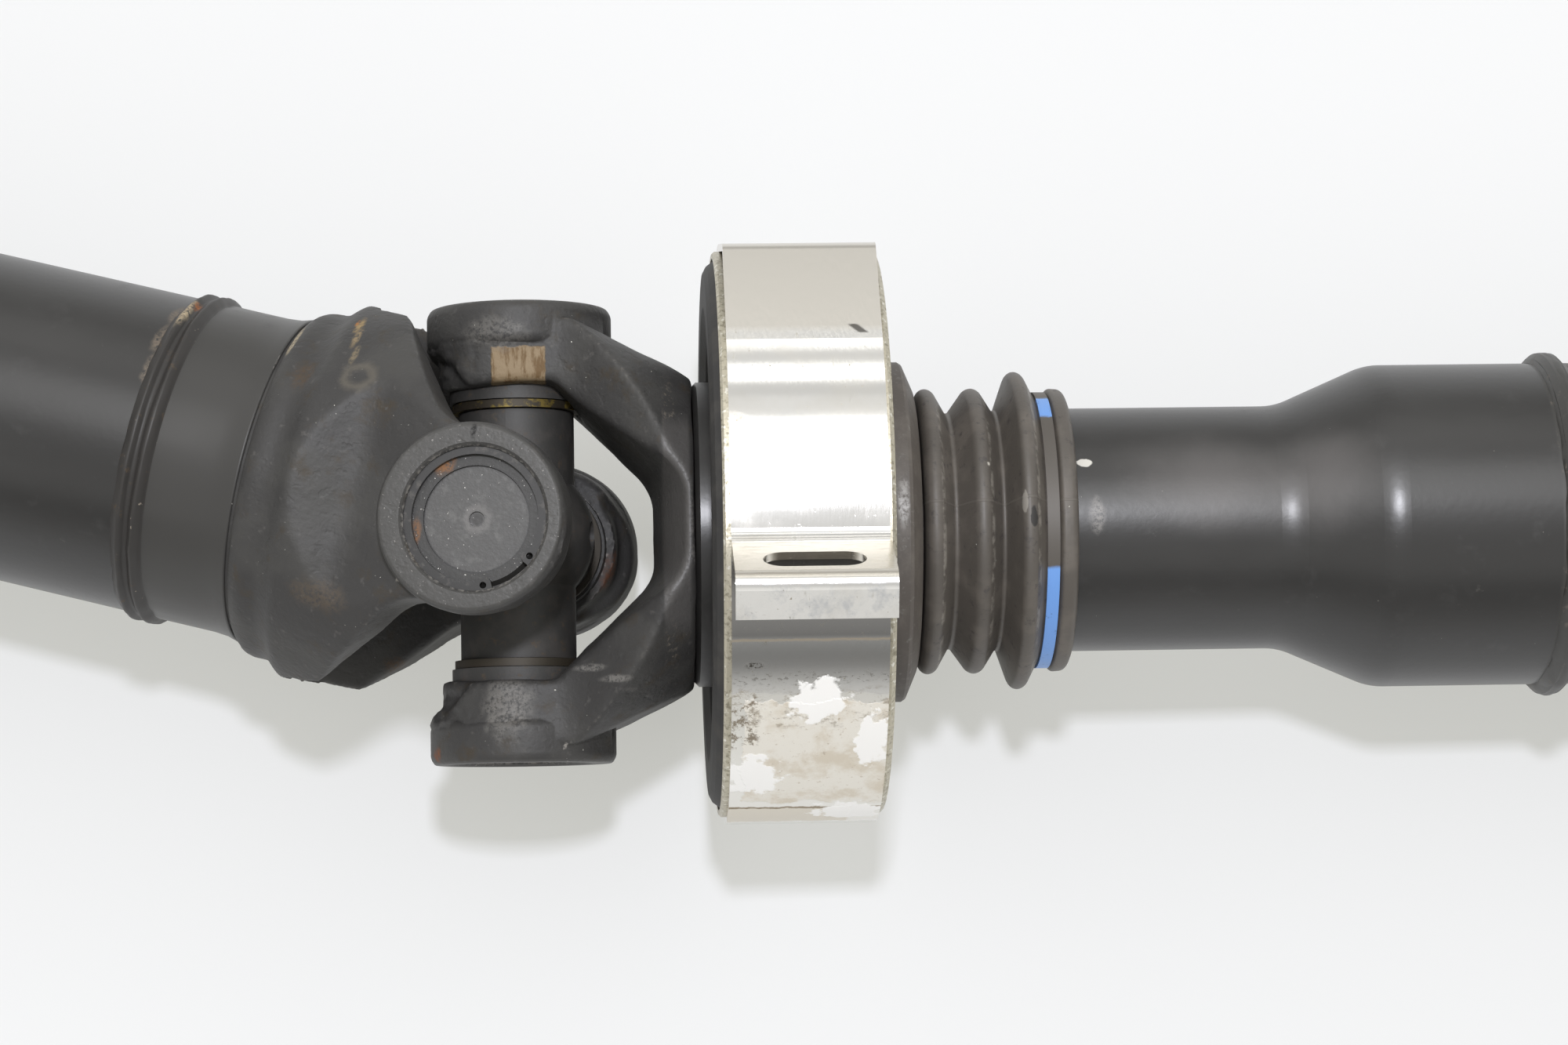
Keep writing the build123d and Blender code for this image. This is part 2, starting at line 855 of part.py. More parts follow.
def bracket_upper():
    """Crown, two slotted wings and their turned-down lips, pressed from one sheet."""
    ring_r = strap_middle_r()
    ridge_r = crown_r - strap_wall / 2
    spread = atan(sqrt(ridge_r**2 - ring_r**2) / ring_r)
    ridge_angle = pi / 2 - radians(crown_lean_deg)
    near, near_touch = wing_path(wing_height, wing_reach - strap_wall / 2, wing_bend_r, True)
    start_angle = atan2(near_touch.Y, near_touch.X)
    near_flat = on_circle(ring_r, ridge_angle - spread)
    far_flat = on_circle(ring_r, ridge_angle + spread)
    ridge = on_circle(ridge_r, ridge_angle)
    ridge_run = crown_bend_r * tan(spread)
    ridge_near = ridge + (near_flat - ridge).normalized() * ridge_run
    ridge_far = ridge + (far_flat - ridge).normalized() * ridge_run
    ridge_top = ridge * ((ridge_r - crown_bend_r / cos(spread) + crown_bend_r) / ridge_r)
    near_middle = on_circle(ring_r, (start_angle + ridge_angle - spread) / 2)
    far_middle = on_circle(ring_r, (pi - start_angle + ridge_angle + spread) / 2)
    far_touch = Vector(-near_touch.X, near_touch.Y)
    crown = [
        ThreePointArc(near_touch, near_middle, near_flat),
        Line(near_flat, ridge_near),
        ThreePointArc(ridge_near, ridge_top, ridge_far),
        Line(ridge_far, far_flat),
        ThreePointArc(far_flat, far_middle, far_touch),
    ]
    body = sheet(near + crown + mirrored(near), strap_width)
    slot = Rot(90, 0, 0) * extrude(
        Rot(0, 0, 90) * SlotOverall(slot_length, slot_width), amount=3 * strap_wall, both=True
    )
    for side in (-1, 1):
        body -= Pos(side * slot_reach, wing_height, 0) * slot
    return body


def bracket_lower():
    """Half band that closes the ring, with short flanges under the wings."""
    ring_r = strap_middle_r()
    height = wing_height - strap_wall
    bend_x = sqrt((ring_r + band_bend_r) ** 2 - (height - band_bend_r) ** 2)
    bend = Vector(bend_x, height - band_bend_r)
    touch = bend * (ring_r / (ring_r + band_bend_r))
    foot = Vector(bend.X, height)
    mid_angle = (pi / 2 + atan2(touch.Y - bend.Y, touch.X - bend.X) % (2 * pi)) / 2
    near = [
        Line((bend.X + band_flange, height), foot),
        ThreePointArc(foot, bend + on_circle(band_bend_r, mid_angle), touch),
    ]
    far_touch = Vector(-touch.X, touch.Y)
    bottom = ThreePointArc(touch, (0, -ring_r), far_touch)
    return sheet(near + [bottom] + mirrored(near), strap_width)


# Rest pose: the bracket's lower strap and both flanges lie on the floor

strap_r = strap_middle_r() + strap_wall / 2
strap_front_x = bearing_x + strap_width / 2
front_dip = atan2(strap_r - flange_r, front_length - strap_front_x)
joint_height = strap_r * cos(front_dip) + strap_front_x * sin(front_dip)
rear_dip = asin(joint_height / hypot(rear_length, flange_r)) - atan2(flange_r, rear_length)

lip_end = Vector(wing_reach, wing_height - lip_length)
wing_drop = asin(strap_r / lip_end.length) + atan2(lip_end.Y, lip_end.X)

ear_tilt = radians(stub_ear_tilt_deg)
joint_yaw = radians(joint_yaw_deg)
front_axis = Vector(1, 0, 0)
stub_ear_axis = Vector(0, cos(ear_tilt), sin(ear_tilt))
rear_on_floor = Vector(
    -cos(rear_dip) * cos(joint_yaw),
    cos(rear_dip) * sin(joint_yaw),
    -sin(rear_dip),
)
rear_axis = rear_on_floor.rotate(Axis.Y, -degrees(front_dip))
rear_ear_axis = stub_ear_axis.cross(rear_axis).normalized()

stub_plane = Plane(origin=(0, 0, 0), x_dir=front_axis, z_dir=stub_ear_axis)
rear_plane = Plane(origin=(0, 0, 0), x_dir=rear_axis, z_dir=rear_ear_axis)
cross_plane = Plane(origin=(0, 0, 0), x_dir=rear_ear_axis, z_dir=stub_ear_axis)
near_wing_dir = Vector(0, -cos(wing_drop), sin(wing_drop))
bracket_plane = Plane(origin=(bearing_x, 0, 0), x_dir=near_wing_dir, z_dir=(1, 0, 0))
if bracket_plane.y_dir.Z < 0:
    bracket_plane = Plane(origin=(bearing_x, 0, 0), x_dir=near_wing_dir, z_dir=(-1, 0, 0))


def joint_pieces():
    """Cups, needles, seals and snap rings on all four trunnions."""
    pieces = {}
    for name, plane, ends in (
        ("stub", stub_plane, ("back", "front")),
        ("rear", rear_plane, ("top", "bottom")),
    ):
        place = Location(plane)
        for end, shape in zip(ends, both_ends(cup())):
            pieces[f"{name}_cup_{end}"] = place * shape
        for end, shape in zip(ends, both_ends(trunnion_seal())):
            pieces[f"{name}_seal_{end}"] = place * shape
        turned_rings = [Rot(0, 0, 135) * snap_ring()]
        turned_rings.append(Rot(180, 0, 0) * turned_rings[0])
        pieces[f"{name}_snap_rings"] = place * group(turned_rings)
        needles = needle_set()
        twins = [Rot(180, 0, 0) * needle for needle in needles]
        pieces[f"{name}_needle_rollers"] = place * group(needles + twins)
    return pieces


def all_pieces():
    on_rear = Location(rear_plane)
    on_bearing = Location(bracket_plane)
    rear_tube_start = rear_weld_x + rear_weld_width / 2
    front_tube_start = front_weld_x + front_weld_width / 2
    pieces = {
        "stub_yoke": stub_yoke(),
        "stub_dust_shield": dust_shield(),
        "bearing_inner_race": inner_race(),
        "bearing_circlip": bearing_circlip(),
        "dust_cap": dust_cap(),
        "boot": boot(),
        "boot_clamp": boot_clamp(),
        "slip_tube": slip_tube(),
        "spline_plug": spline_plug(),
        "front_tube": tube(front_tube_start, flange_start(front_length)),
        "front_flange": flange(front_length),
        "cross": Location(cross_plane) * cross(),
        "rear_yoke": on_rear * rear_yoke(),
        "rear_tube": on_rear * tube(rear_tube_start, flange_start(rear_length)),
        "rear_flange": on_rear * flange(rear_length),
        "bearing_outer_race": outer_race(),
        "bearing_balls": group([place * Sphere(ball_r) for place in ball_places()]),
        "ball_cage": ball_cage(),
        "bearing_seal_rear": seal_disc(-1),
        "bearing_seal_front": seal_disc(1),
        "bearing_housing": bearing_housing(),
        "rubber_mount": rubber_mount(),
        "mount_ring": mount_ring(),
        "bracket_upper": on_bearing * bracket_upper(),
        "bracket_lower": on_bearing * bracket_lower(),
    }
    pieces.update(joint_pieces())
    return pieces


def lay_down(pieces):
    """Tip the part onto the floor and centre it over the origin. Returns the pieces and the move."""
    tipped = Pos(0, 0, joint_height) * Rot(0, degrees(front_dip), 0)
    box = Compound(children=[tipped * shape for shape in pieces.values()]).bounding_box()
    centring = Pos(-box.center().X, -box.center().Y, -box.min.Z)
    move = centring * tipped
    laid_pieces = {}
    for name, shape in pieces.items():
        solids = (move * shape).solids()
        laid_pieces[name] = solids[0] if len(solids) == 1 else Compound(children=list(solids))
    return laid_pieces, move


laid, floor_move = lay_down(all_pieces())
os.makedirs("parts", exist_ok=True)
for node, solid in laid.items():
    export_step(solid, f"parts/{node}.step")
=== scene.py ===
"""Looks of a two-piece driveshaft: forged joint, hung bearing in its bracket, boot and tubes.

Lengths in the materials and pieces are millimetres in a local frame, and a matrix sets them in
the model's metres. FRONT has +X along the stub shaft and REAR along the rear tube, both about
the joint's centre with +Z along that fork's ears. BEARING is about the bearing, with +X along
the shaft and +Z up through the bracket's crown.
"""

import json
from math import cos, pi, radians, sin

import bmesh
import bpy
from mathutils import Matrix, Vector, noise


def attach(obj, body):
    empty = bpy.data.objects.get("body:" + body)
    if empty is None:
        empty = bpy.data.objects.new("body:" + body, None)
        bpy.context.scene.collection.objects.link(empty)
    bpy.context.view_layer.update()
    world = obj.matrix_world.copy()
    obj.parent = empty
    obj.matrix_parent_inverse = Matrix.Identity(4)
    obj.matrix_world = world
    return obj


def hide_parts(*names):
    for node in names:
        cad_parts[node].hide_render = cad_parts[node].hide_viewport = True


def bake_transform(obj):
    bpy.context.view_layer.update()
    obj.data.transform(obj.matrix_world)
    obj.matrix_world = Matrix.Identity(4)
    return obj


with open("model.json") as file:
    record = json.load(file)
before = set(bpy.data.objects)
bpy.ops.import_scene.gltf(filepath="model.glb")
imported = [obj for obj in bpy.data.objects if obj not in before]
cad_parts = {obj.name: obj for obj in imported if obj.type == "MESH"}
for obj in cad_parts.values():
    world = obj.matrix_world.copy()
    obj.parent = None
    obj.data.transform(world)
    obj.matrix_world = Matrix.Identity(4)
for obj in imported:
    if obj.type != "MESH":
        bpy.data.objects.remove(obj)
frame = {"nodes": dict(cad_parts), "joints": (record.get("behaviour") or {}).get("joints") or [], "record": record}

bl_info = {
    "name": "Driveshaft Joint",
    "version": (1, 0, 0),
    "blender": (4, 5, 0),
    "location": "3D View > Sidebar > Driveshaft",
    "description": "Forged cross joint, hung bearing, bellows boot and tubes of a driveshaft",
    "category": "Object",
}

NODES = frame["nodes"]
RECORD = frame["record"]
JOINTS = {joint["name"]: joint for joint in frame["joints"]}
MOUNTS = {mount["name"]: mount for mount in RECORD["mounts"]}
MM = 0.001
# Millimetres that several pieces share
EAR_FACE = 49.0
TUBE_R = 35.0
REAR_WELD_X = 76.0
FRONT_WELD_X = 223.6
# Points nearer than this are made one, in new pieces and in copies of the model's
MERGE = 0.0005
COPY_MERGE = 0.002


def local_frame(origin, along, up):
    """Matrix from local millimetres to the model's metres: +X along, +Z up."""
    x = Vector(along).normalized()
    z = Vector(up)
    z = (z - x * z.dot(x)).normalized()
    y = z.cross(x)
    turn = Matrix((x, y, z)).transposed().to_4x4()
    return Matrix.Translation(Vector(origin)) @ turn @ Matrix.Scale(MM, 4)


JOINT_CENTRE = Vector(JOINTS["cross_pivot"]["pos_m"])
STUB_EAR_AXIS = Vector(JOINTS["cross_pivot"]["axis"])
REAR_EAR_AXIS = Vector(JOINTS["rear_yoke_pivot"]["axis"])
SHAFT_AXIS = Vector(JOINTS["spline_slip"]["axis"])
REAR_AXIS = Vector(MOUNTS["rear_flange_bolts"]["axis"])
FRONT = local_frame(JOINT_CENTRE, SHAFT_AXIS, STUB_EAR_AXIS)
REAR = local_frame(JOINT_CENTRE, REAR_AXIS, REAR_EAR_AXIS)
BEARING = local_frame(
    JOINTS["bearing_turn"]["pos_m"], SHAFT_AXIS, MOUNTS["bracket_slot_near"]["axis"]
)


# Colours and nodes


def linear(hex_colour):
    """sRGB hex to the linear values that shaders take, with full alpha."""
    channels = [int(hex_colour[i : i + 2], 16) / 255 for i in (1, 3, 5)]
    return [c / 12.92 if c <= 0.04045 else ((c + 0.055) / 1.055) ** 2.4 for c in channels] + [1.0]


def add(tree, kind, settings=None, **sockets):
    """Adds one node. Sockets go by name or _index, as a value or as another node's output."""
    made = tree.nodes.new(kind)
    for key, value in (settings or {}).items():
        setattr(made, key, value)
    for key, value in sockets.items():
        socket = made.inputs[int(key[1:]) if key[1:].isdigit() else key.replace("_", " ")]
        if isinstance(value, bpy.types.NodeSocket):
            tree.links.new(value, socket)
        else:
            socket.default_value = value
    return made


def mixed(tree, share, a, b):
    """Colour that goes from a to b as share goes from 0 to 1."""
    return add(tree, "ShaderNodeMix", {"data_type": "RGBA"}, _0=share, _6=a, _7=b).outputs[2]


class Finish:
    """One material under way, in a local frame: its colour, roughness and height so far."""

    def __init__(self, name, colour, roughness, place):
        self.material = bpy.data.materials.new(name)
        self.material.use_nodes = True
        self.tree = self.material.node_tree
        self.tree.nodes.clear()
        coordinates = add(self.tree, "ShaderNodeTexCoord").outputs["Object"]
        inverse = place.inverted()
        self.coords = add(
            self.tree,
            "ShaderNodeMapping",
            Vector=coordinates,
            Location=inverse.to_translation(),
            Rotation=inverse.to_euler(),
            Scale=inverse.to_scale(),
        ).outputs[0]
        self.colour = linear(colour)
        self.roughness = roughness
        self.height = None

    def noise(self, size, detail=3.0, rough=0.55, stretch=(1, 1, 1)):
        """Noise whose features are about size millimetres across."""
        coords = self.coords
        if stretch != (1, 1, 1):
            coords = add(self.tree, "ShaderNodeMapping", Vector=coords, Scale=stretch).outputs[0]
        return add(
            self.tree,
            "ShaderNodeTexNoise",
            Vector=coords,
            Scale=1 / size,
            Detail=detail,
            Roughness=rough,
        ).outputs["Fac"]

    def ramp(self, value, low, high):
        """0 up to low, 1 from high on, smooth between."""
        return add(
            self.tree,
            "ShaderNodeMapRange",
            {"interpolation_type": "SMOOTHSTEP"},
            Value=value,
            _1=low,
            _2=high,
        ).outputs[0]

    def mottle(self, low, high, size, detail=3.0, rough=0.55, stretch=(1, 1, 1)):
        """Mask of blotches: noise cut off below low and full from high on."""
        return self.ramp(self.noise(size, detail, rough, stretch), low, high)

    def math(self, operation, a, b=0.0):
        """Result of one sum on numbers."""
        return add(self.tree, "ShaderNodeMath", {"operation": operation}, _0=a, _1=b).outputs[0]

    def vector(self, operation, a, b=(0, 0, 0)):
        """Result of one sum on vectors."""
        made = add(self.tree, "ShaderNodeVectorMath", {"operation": operation}, _0=a, _1=b)
        return made.outputs["Value" if operation in ("LENGTH", "DISTANCE") else "Vector"]

    def axis(self, name):
        """One coordinate of the local frame, in millimetres."""
        return add(self.tree, "ShaderNodeSeparateXYZ", Vector=self.coords).outputs[name]

    def around(self):
        """Degrees round X, from +Y towards +Z."""
        angle = self.math("ARCTAN2", self.axis("Z"), self.axis("Y"))
        return self.math("MULTIPLY", angle, 180 / pi)

    def band(self, value, low, high, soft=0.4, ragged=0.0, size=3.0):
        """1 between low and high, with edges as soft and as ragged as asked."""
        if ragged:
            wander = self.math("SUBTRACT", self.noise(size, 4.0, 0.65), 0.5)
            value = self.math("ADD", value, self.math("MULTIPLY", wander, 2 * ragged))
        inside = self.ramp(value, low - soft, low + soft)
        return self.math("MULTIPLY", inside, self.ramp(value, high + soft, high - soft))

    def both(self, mask, *others):
        """Where all the masks are 1. A number among them weakens the rest."""
        for other in others:
            mask = self.math("MULTIPLY", mask, other)
        return mask

    def patch(self, centre, reach, ragged=0.5, size=2.5, soft=0.12):
        """Mask of an uneven blot about a point, reach millimetres each way."""
        shifted = self.vector("SUBTRACT", self.coords, centre)
        length = self.vector("LENGTH", self.vector("DIVIDE", shifted, reach))
        wander = self.math("MULTIPLY", self.noise(size, 4.0), ragged)
        rim = 1 + ragged / 2
        return self.ramp(self.math("ADD", length, wander), rim + soft, rim - soft)

    def coat(self, mask, colour, roughness, height=None, strength=1.0):
        """Lays a colour, a roughness and perhaps a height over what is there, where mask is 1."""
        if strength != 1.0:
            mask = self.math("MULTIPLY", mask, strength)
        self.colour = mixed(self.tree, mask, self.colour, linear(colour))
        self.roughness = add(
            self.tree, "ShaderNodeMix", _0=mask, _2=self.roughness, _3=roughness
        ).outputs[0]
        if height is not None:
            self.raise_by(self.math("MULTIPLY", mask, height))

    def stain(self, centre, reach, colour, strength=0.7, roughness=0.7, size=1.6):
        """Soft-edged, broken stain, part of which shows what lies under it."""
        mask = self.patch(centre, reach, 1.3, size, 0.4)
        broken = self.mottle(0.34, 0.6, size / 2, 4.0, 0.7)
        self.coat(self.both(mask, broken, strength), colour, roughness)

    def raise_by(self, amount):
        """Adds millimetres of height."""
        self.height = amount if self.height is None else self.math("ADD", self.height, amount)

    def grain(self, height, size, detail=3.0, stretch=(1, 1, 1)):
        """Fine uneven relief, height millimetres deep."""
        relief = self.noise(size, detail, stretch=stretch)
        self.raise_by(self.math("MULTIPLY", relief, height))

    def done(self, metallic=0.0, **shader):
        """Closes the material, with the height as relief."""
        sockets = dict(shader, Base_Color=self.colour, Roughness=self.roughness, Metallic=metallic)
        if self.height is not None:
            bump = add(self.tree, "ShaderNodeBump", Strength=1.0, Distance=MM, Height=self.height)
            sockets["Normal"] = bump.outputs[0]
        surface = add(self.tree, "ShaderNodeBsdfPrincipled", **sockets)
        add(self.tree, "ShaderNodeOutputMaterial", Surface=surface.outputs[0])
        return self.material


# Materials


def dust(skin, colour="#c9c7bd", size=0.7, share=0.3):
    """Pale grit that lies on oily metal, in specks a little larger than real so that they show."""
    skin.coat(skin.mottle(0.84 - share * 0.12, 0.87 - share * 0.12, size, 1.0), colour, 0.8)


def forged_steel(name, place):
    """Hot-forged steel in thin black dip paint: grey-black, brown in patches, pitted."""
    skin = Finish(name, "#3b3a39", 0.52, place)
    skin.coat(skin.mottle(0.42, 0.64, 16, 4.0), "#444341", 0.56)
    skin.coat(skin.mottle(0.54, 0.76, 7, 5.0, 0.65), "#40392f", 0.6)
    skin.coat(skin.mottle(0.62, 0.76, 2.2), "#504e4c", 0.55)
    lumps = skin.math("MULTIPLY", skin.noise(1.1, 3.0, 0.5), 0.11)
    pits = skin.math("MULTIPLY", skin.mottle(0.3, 0.44, 2.6, 2.0), 0.05)
    relief = skin.math("ADD", lumps, pits)
    skin.raise_by(skin.both(relief, skin.ramp(skin.axis("X"), 54.0, 52.5)))
    dust(skin)
    return skin


def worn_edges(skin):
    """Paint rubbed bright on the outer corners, where the forging is sharp."""
    pointed = add(skin.tree, "ShaderNodeNewGeometry").outputs["Pointiness"]
    rubbed = skin.ramp(pointed, 0.525, 0.59)
    broken = skin.mottle(0.46, 0.58, 1.2, 5.0, 0.7)
    skin.coat(skin.both(rubbed, broken), "#8f8b85", 0.42)


def machined_ears(skin):
    """Turned ear faces: a little lighter and scored, with no thick paint on them."""
    face = skin.ramp(skin.math("ABSOLUTE", skin.axis("Z")), EAR_FACE - 0.7, EAR_FACE - 0.2)
    skin.coat(face, "#4a4947", 0.48)
    skin.coat(skin.both(face, skin.mottle(0.52, 0.72, 2.0, 5.0, 0.75)), "#575553", 0.5)
    skin.coat(skin.both(face, skin.mottle(0.69, 0.73, 0.6, 2.0)), "#8b8884", 0.6)


RUST = "#7d4a2a"
BROWN = "#54422f"


def stub_forging():
    """The stub fork's own marks: a tan scab on one ear, painted highlights along the lower arm, a bare plate edge
    and a plate face painted lighter as lit.
    """
    skin = forged_steel("black_dipped_forging_stub", FRONT)
    worn_edges(skin)
    machined_ears(skin)
    along = skin.band(skin.axis("X"), -4.8, 6.6, 0.2, 0.5, 2.0)
    up = skin.band(skin.axis("Z"), 31.0, 39.0, 0.2, 0.6, 2.0)
    scab = skin.both(along, up, skin.ramp(skin.axis("Y"), -10, -12))
    skin.coat(scab, "#8f7c60", 0.62, 0.1)
    streak = skin.mottle(0.46, 0.62, 2.0, 4.0, 0.7, stretch=(1, 1, 0.25))
    skin.coat(skin.both(scab, streak), "#6d5638", 0.7)
    # Pale grey streaks along the lower arm are painted highlights, where its ridge catches the light.
    for spot in ((15, -22, -29.5), (20, -25.5, -32), (26, -27, -34.5), (31, -20, -35.5)):
        skin.stain(spot, (3.6, 4.0, 0.8), "#8d8a85", 0.6, 0.4)
    skin.stain((-2.0, -18.5, -37.0), (5.0, 4.0, 7.0), "#7b7873", 0.7, 0.5)
    skin.stain((-4.0, -18.8, 42.0), (7.0, 4.0, 3.5), "#77746f", 0.5, 0.45)
    skin.stain((-18.4, -8.3, -47.0), (1.8, 2.4, 1.8), RUST, 0.9)
    along = skin.band(skin.axis("X"), 31.4, 33.6, 0.5, 0.6)
    edge = skin.both(along, skin.band(skin.axis("Z"), -30, 30, 4))
    rubbed = skin.both(edge, skin.mottle(0.54, 0.62, 1.5, 5.0, 0.75))
    skin.coat(rubbed, "#7f776b", 0.5, strength=0.7)
    # The plate's face is painted lighter: painted light, as on the side that faces the camera and lamp.
    face = skin.band(skin.axis("X"), 31.0, 36.6)
    skin.coat(skin.both(face, skin.band(skin.axis("Z"), -22, 22, 3)), "#565452", 0.42)
    return skin


def rear_forging():
    """The rear fork's own marks: smoother sleeve, rusty weld flash, tan and orange drips."""
    skin = forged_steel("black_dipped_forging_rear", REAR)
    worn_edges(skin)
    machined_ears(skin)
    sleeve = skin.ramp(skin.axis("X"), 53.2, 54.2)
    skin.coat(sleeve, "#41403e", 0.36)
    skin.coat(skin.both(sleeve, skin.mottle(0.55, 0.75, 6, 4.0, 0.7)), "#403f3d", 0.42)
    flash = skin.ramp(skin.axis("X"), 72.2, 72.9)
    skin.coat(flash, "#363432", 0.46)
    skin.coat(skin.both(flash, skin.mottle(0.6, 0.72, 4, 4.0, 0.7)), "#4f4335", 0.6)
    skin.coat(skin.both(flash, skin.mottle(0.7, 0.75, 1.3)), "#8b8175", 0.7)
    for spot, reach, colour, strength in (
        ((77.5, -29.0, 19.5), (0.9, 5.0, 6.0), "#b0a084", 0.9),
        ((76.6, -31.0, 16.0), (0.7, 3.0, 2.0), "#9c5f30", 0.9),
        ((39.0, -35.4, 23.8), (0.9, 2.2, 4.4), "#96805a", 1.0),
        ((37.9, -32.6, 28.0), (0.8, 2.8, 4.2), "#85755b", 1.0),
        ((36.4, -28.6, 32.4), (0.7, 3.0, 3.4), "#7b6f5a", 0.9),
        ((39.8, -35.8, 22.6), (0.4, 1.2, 1.8), "#a86c30", 0.8),
        ((47.9, -26.5, 29.7), (0.9, 1.0, 1.2), "#b5722f", 1.0),
        ((46.2, -22.0, 32.0), (2.2, 4.0, 3.0), BROWN, 0.5),
        ((52.0, -29.0, 22.5), (0.6, 5.0, 6.5), "#b3a68c", 0.9),
        ((30.5, 22.5, 38.3), (6.5, 3.0, 4.0), "#5a4f42", 0.6),
        ((-19.7, 2.7, -32.0), (5.0, 6.5, 3.5), RUST, 0.8),
        ((25.0, 33.0, -22.0), (3.5, 2.0, 3.0), BROWN, 0.7),
        ((4.2, -17.3, 49.0), (0.6, 1.6, 1.4), "#1f1e1d", 1.0),
    ):
        skin.stain(spot, reach, colour, strength)
    from_ring = skin.vector("DISTANCE", skin.coords, (33.4, -23.9, 36.9))
    ring = skin.band(from_ring, 2.2, 3.9, 1.2, 1.4, 2.4)
    skin.coat(ring, "#6c665b", 0.6, strength=0.55)
    for spot in ((29.8, -5.2, 38.3), (31.8, 2.1, 38.5)):
        skin.coat(skin.patch(spot, (0.5, 0.5, 0.5), 0.5, 1.0), "#a9a69e", 0.8)
    return skin


def painted_tube(name, place):
    """Drawn steel tube in satin black paint: even, with faint cloudy handling marks along it."""
    skin = Finish(name, "#252423", 0.32, place)
    skin.coat(skin.mottle(0.4, 0.7, 30, 4.0, 0.6, stretch=(0.5, 1, 1)), "#2c2b2a", 0.35)
    skin.coat(skin.mottle(0.56, 0.78, 9, 4.0, 0.7), "#323130", 0.4)
    skin.coat(skin.mottle(0.66, 0.82, 2.5, 4.0, 0.7), "#45433f", 0.5)
    skin.grain(0.02, 1.6, 2.0)
    dust(skin, size=0.5, share=0.0)
    return skin


def rear_paint():
    """The rear tube's paint, with pale rub marks beside its weld."""
    skin = painted_tube("satin_black_tube_rear", REAR)
    for spot in ((79.6, -23.0, 26.4), (79.0, -16.0, 31.1), (79.4, -29.0, 19.5)):
        skin.stain(spot, (1.4, 4.0, 4.0), "#7f7160", 0.6)
    return skin


def front_paint():
    """The front tube's paint: a dull weld, one chip and two soft painted highlights on the slip tube."""
    skin = painted_tube("satin_black_tube_front", FRONT)
    skin.stain((122.5, -27.0, 1.0), (1.6, 3.0, 3.5), "#8d8984", 0.6, 0.4)
    skin.coat(skin.patch((120.3, -23.4, 12.2), (1.6, 1.6, 0.9), 0.5, 1.0), "#d2cfc6", 0.7)
    # Two soft lighter patches on the slip tube are painted highlights of the overhead light.
    for spot, reach in (((146.5, -24.5, 8.0), (14, 8, 7.5)), ((171.0, -27.0, 8.0), (9, 8, 7.5))):
        slip_highlight = skin.patch(spot, reach, 1.0, 12.0, 0.9)
        skin.coat(slip_highlight, "#575453", 0.36, strength=0.8)
    flash = skin.band(skin.axis("X"), 219.6, 228.4)
    skin.coat(flash, "#31302d", 0.45)
    skin.coat(skin.both(flash, skin.mottle(0.58, 0.7, 2.2, 4.0, 0.7)), "#57514a", 0.6)
    return skin


def dark_cap():
    """Pressed cap in old black paint, turning dusty grey between 50 and 60 mm along the shaft, and rubbed bright
    on its rim.
    """
    skin = painted_tube("black_pressed_cap", FRONT)
    skin.coat(skin.ramp(skin.axis("X"), 50.0, 60.0), "#57514b", 0.58)
    skin.coat(skin.mottle(0.42, 0.66, 6.0, 5.0, 0.7), "#625c55", 0.56)
    rim = skin.band(skin.axis("X"), 74.0, 83.5)
    skin.coat(skin.both(rim, skin.mottle(0.56, 0.68, 1.6, 5.0, 0.75)), "#6b6862", 0.4)
    skin.stain((80.8, -36.7, 3.0), (1.2, 2.0, 5.0), "#96938d", 0.8, 0.3)
    return skin


def zinc_sheet(name, place):
    """Zinc-plated steel sheet: bright, rolled grain round the ring, cloudy with handling."""
    skin = Finish(name, "#f0efed", 0.1, place)
    skin.coat(skin.mottle(0.45, 0.7, 14, 4.0, 0.6), "#e9e7e3", 0.14)
    skin.coat(skin.mottle(0.62, 0.78, 2.0, 4.0, 0.7, stretch=(1, 0.35, 0.35)), "#d3d0c8", 0.24)
    skin.coat(skin.mottle(0.71, 0.76, 0.8, 2.0), "#b1ab9b", 0.4)
    skin.grain(0.012, 0.8, stretch=(1.6, 0.3, 0.3))
    return skin


def upper_sheet():
    """The upper bracket's sheet: hazy near wing and lip, warmer crown, one small dark wedge at the crown's edge.
    """
    skin = zinc_sheet("bright_zinc_sheet_upper", BEARING)
    lip = skin.ramp(skin.axis("Y"), -82.0, -82.9)
    blotch = skin.mottle(0.45, 0.72, 4.5, 5.0, 0.7)
    skin.coat(skin.both(lip, blotch), "#dadbdd", 0.24)
    skin.coat(skin.both(lip, skin.mottle(0.66, 0.74, 1.2, 4.0, 0.7)), "#b9b7b1", 0.36)
    wing = skin.both(skin.ramp(skin.axis("Z"), 21.5, 20.6), skin.band(skin.axis("Y"), -82.5, -63.5))
    streak = skin.mottle(0.5, 0.7, 1.0, 4.0, 0.6, stretch=(0.2, 1, 1))
    skin.coat(wing, "#d9d4ca", 0.22)
    skin.coat(skin.both(wing, streak), "#cdc7bb", 0.28)
    crown = skin.ramp(skin.axis("Y"), -32.0, -29.5)
    skin.coat(crown, "#dcd8d1", 0.2)
    lean = skin.math("ADD", skin.axis("X"), skin.math("MULTIPLY", skin.axis("Y"), 1.1))
    across = skin.band(skin.axis("Y"), -31.6, -29.6, 0.2, 0.3, 0.8)
    slant = skin.band(lean, -23.6, -21.6, 0.4)
    # A small dark wedge at the crown's edge, near its bend.
    dark_wedge = skin.both(across, slant, skin.ramp(skin.axis("X"), 8.8, 9.4))
    skin.coat(dark_wedge, "#4b4843", 0.5, strength=0.85)
    skin.stain((-15.0, -47.0, 41.0), (1.8, 1.2, 1.2), "#8a7760", 0.45)
    skin.stain((-12.6, -47.8, 40.2), (2.2, 1.2, 1.2), "#8a7760", 0.45)
    return skin


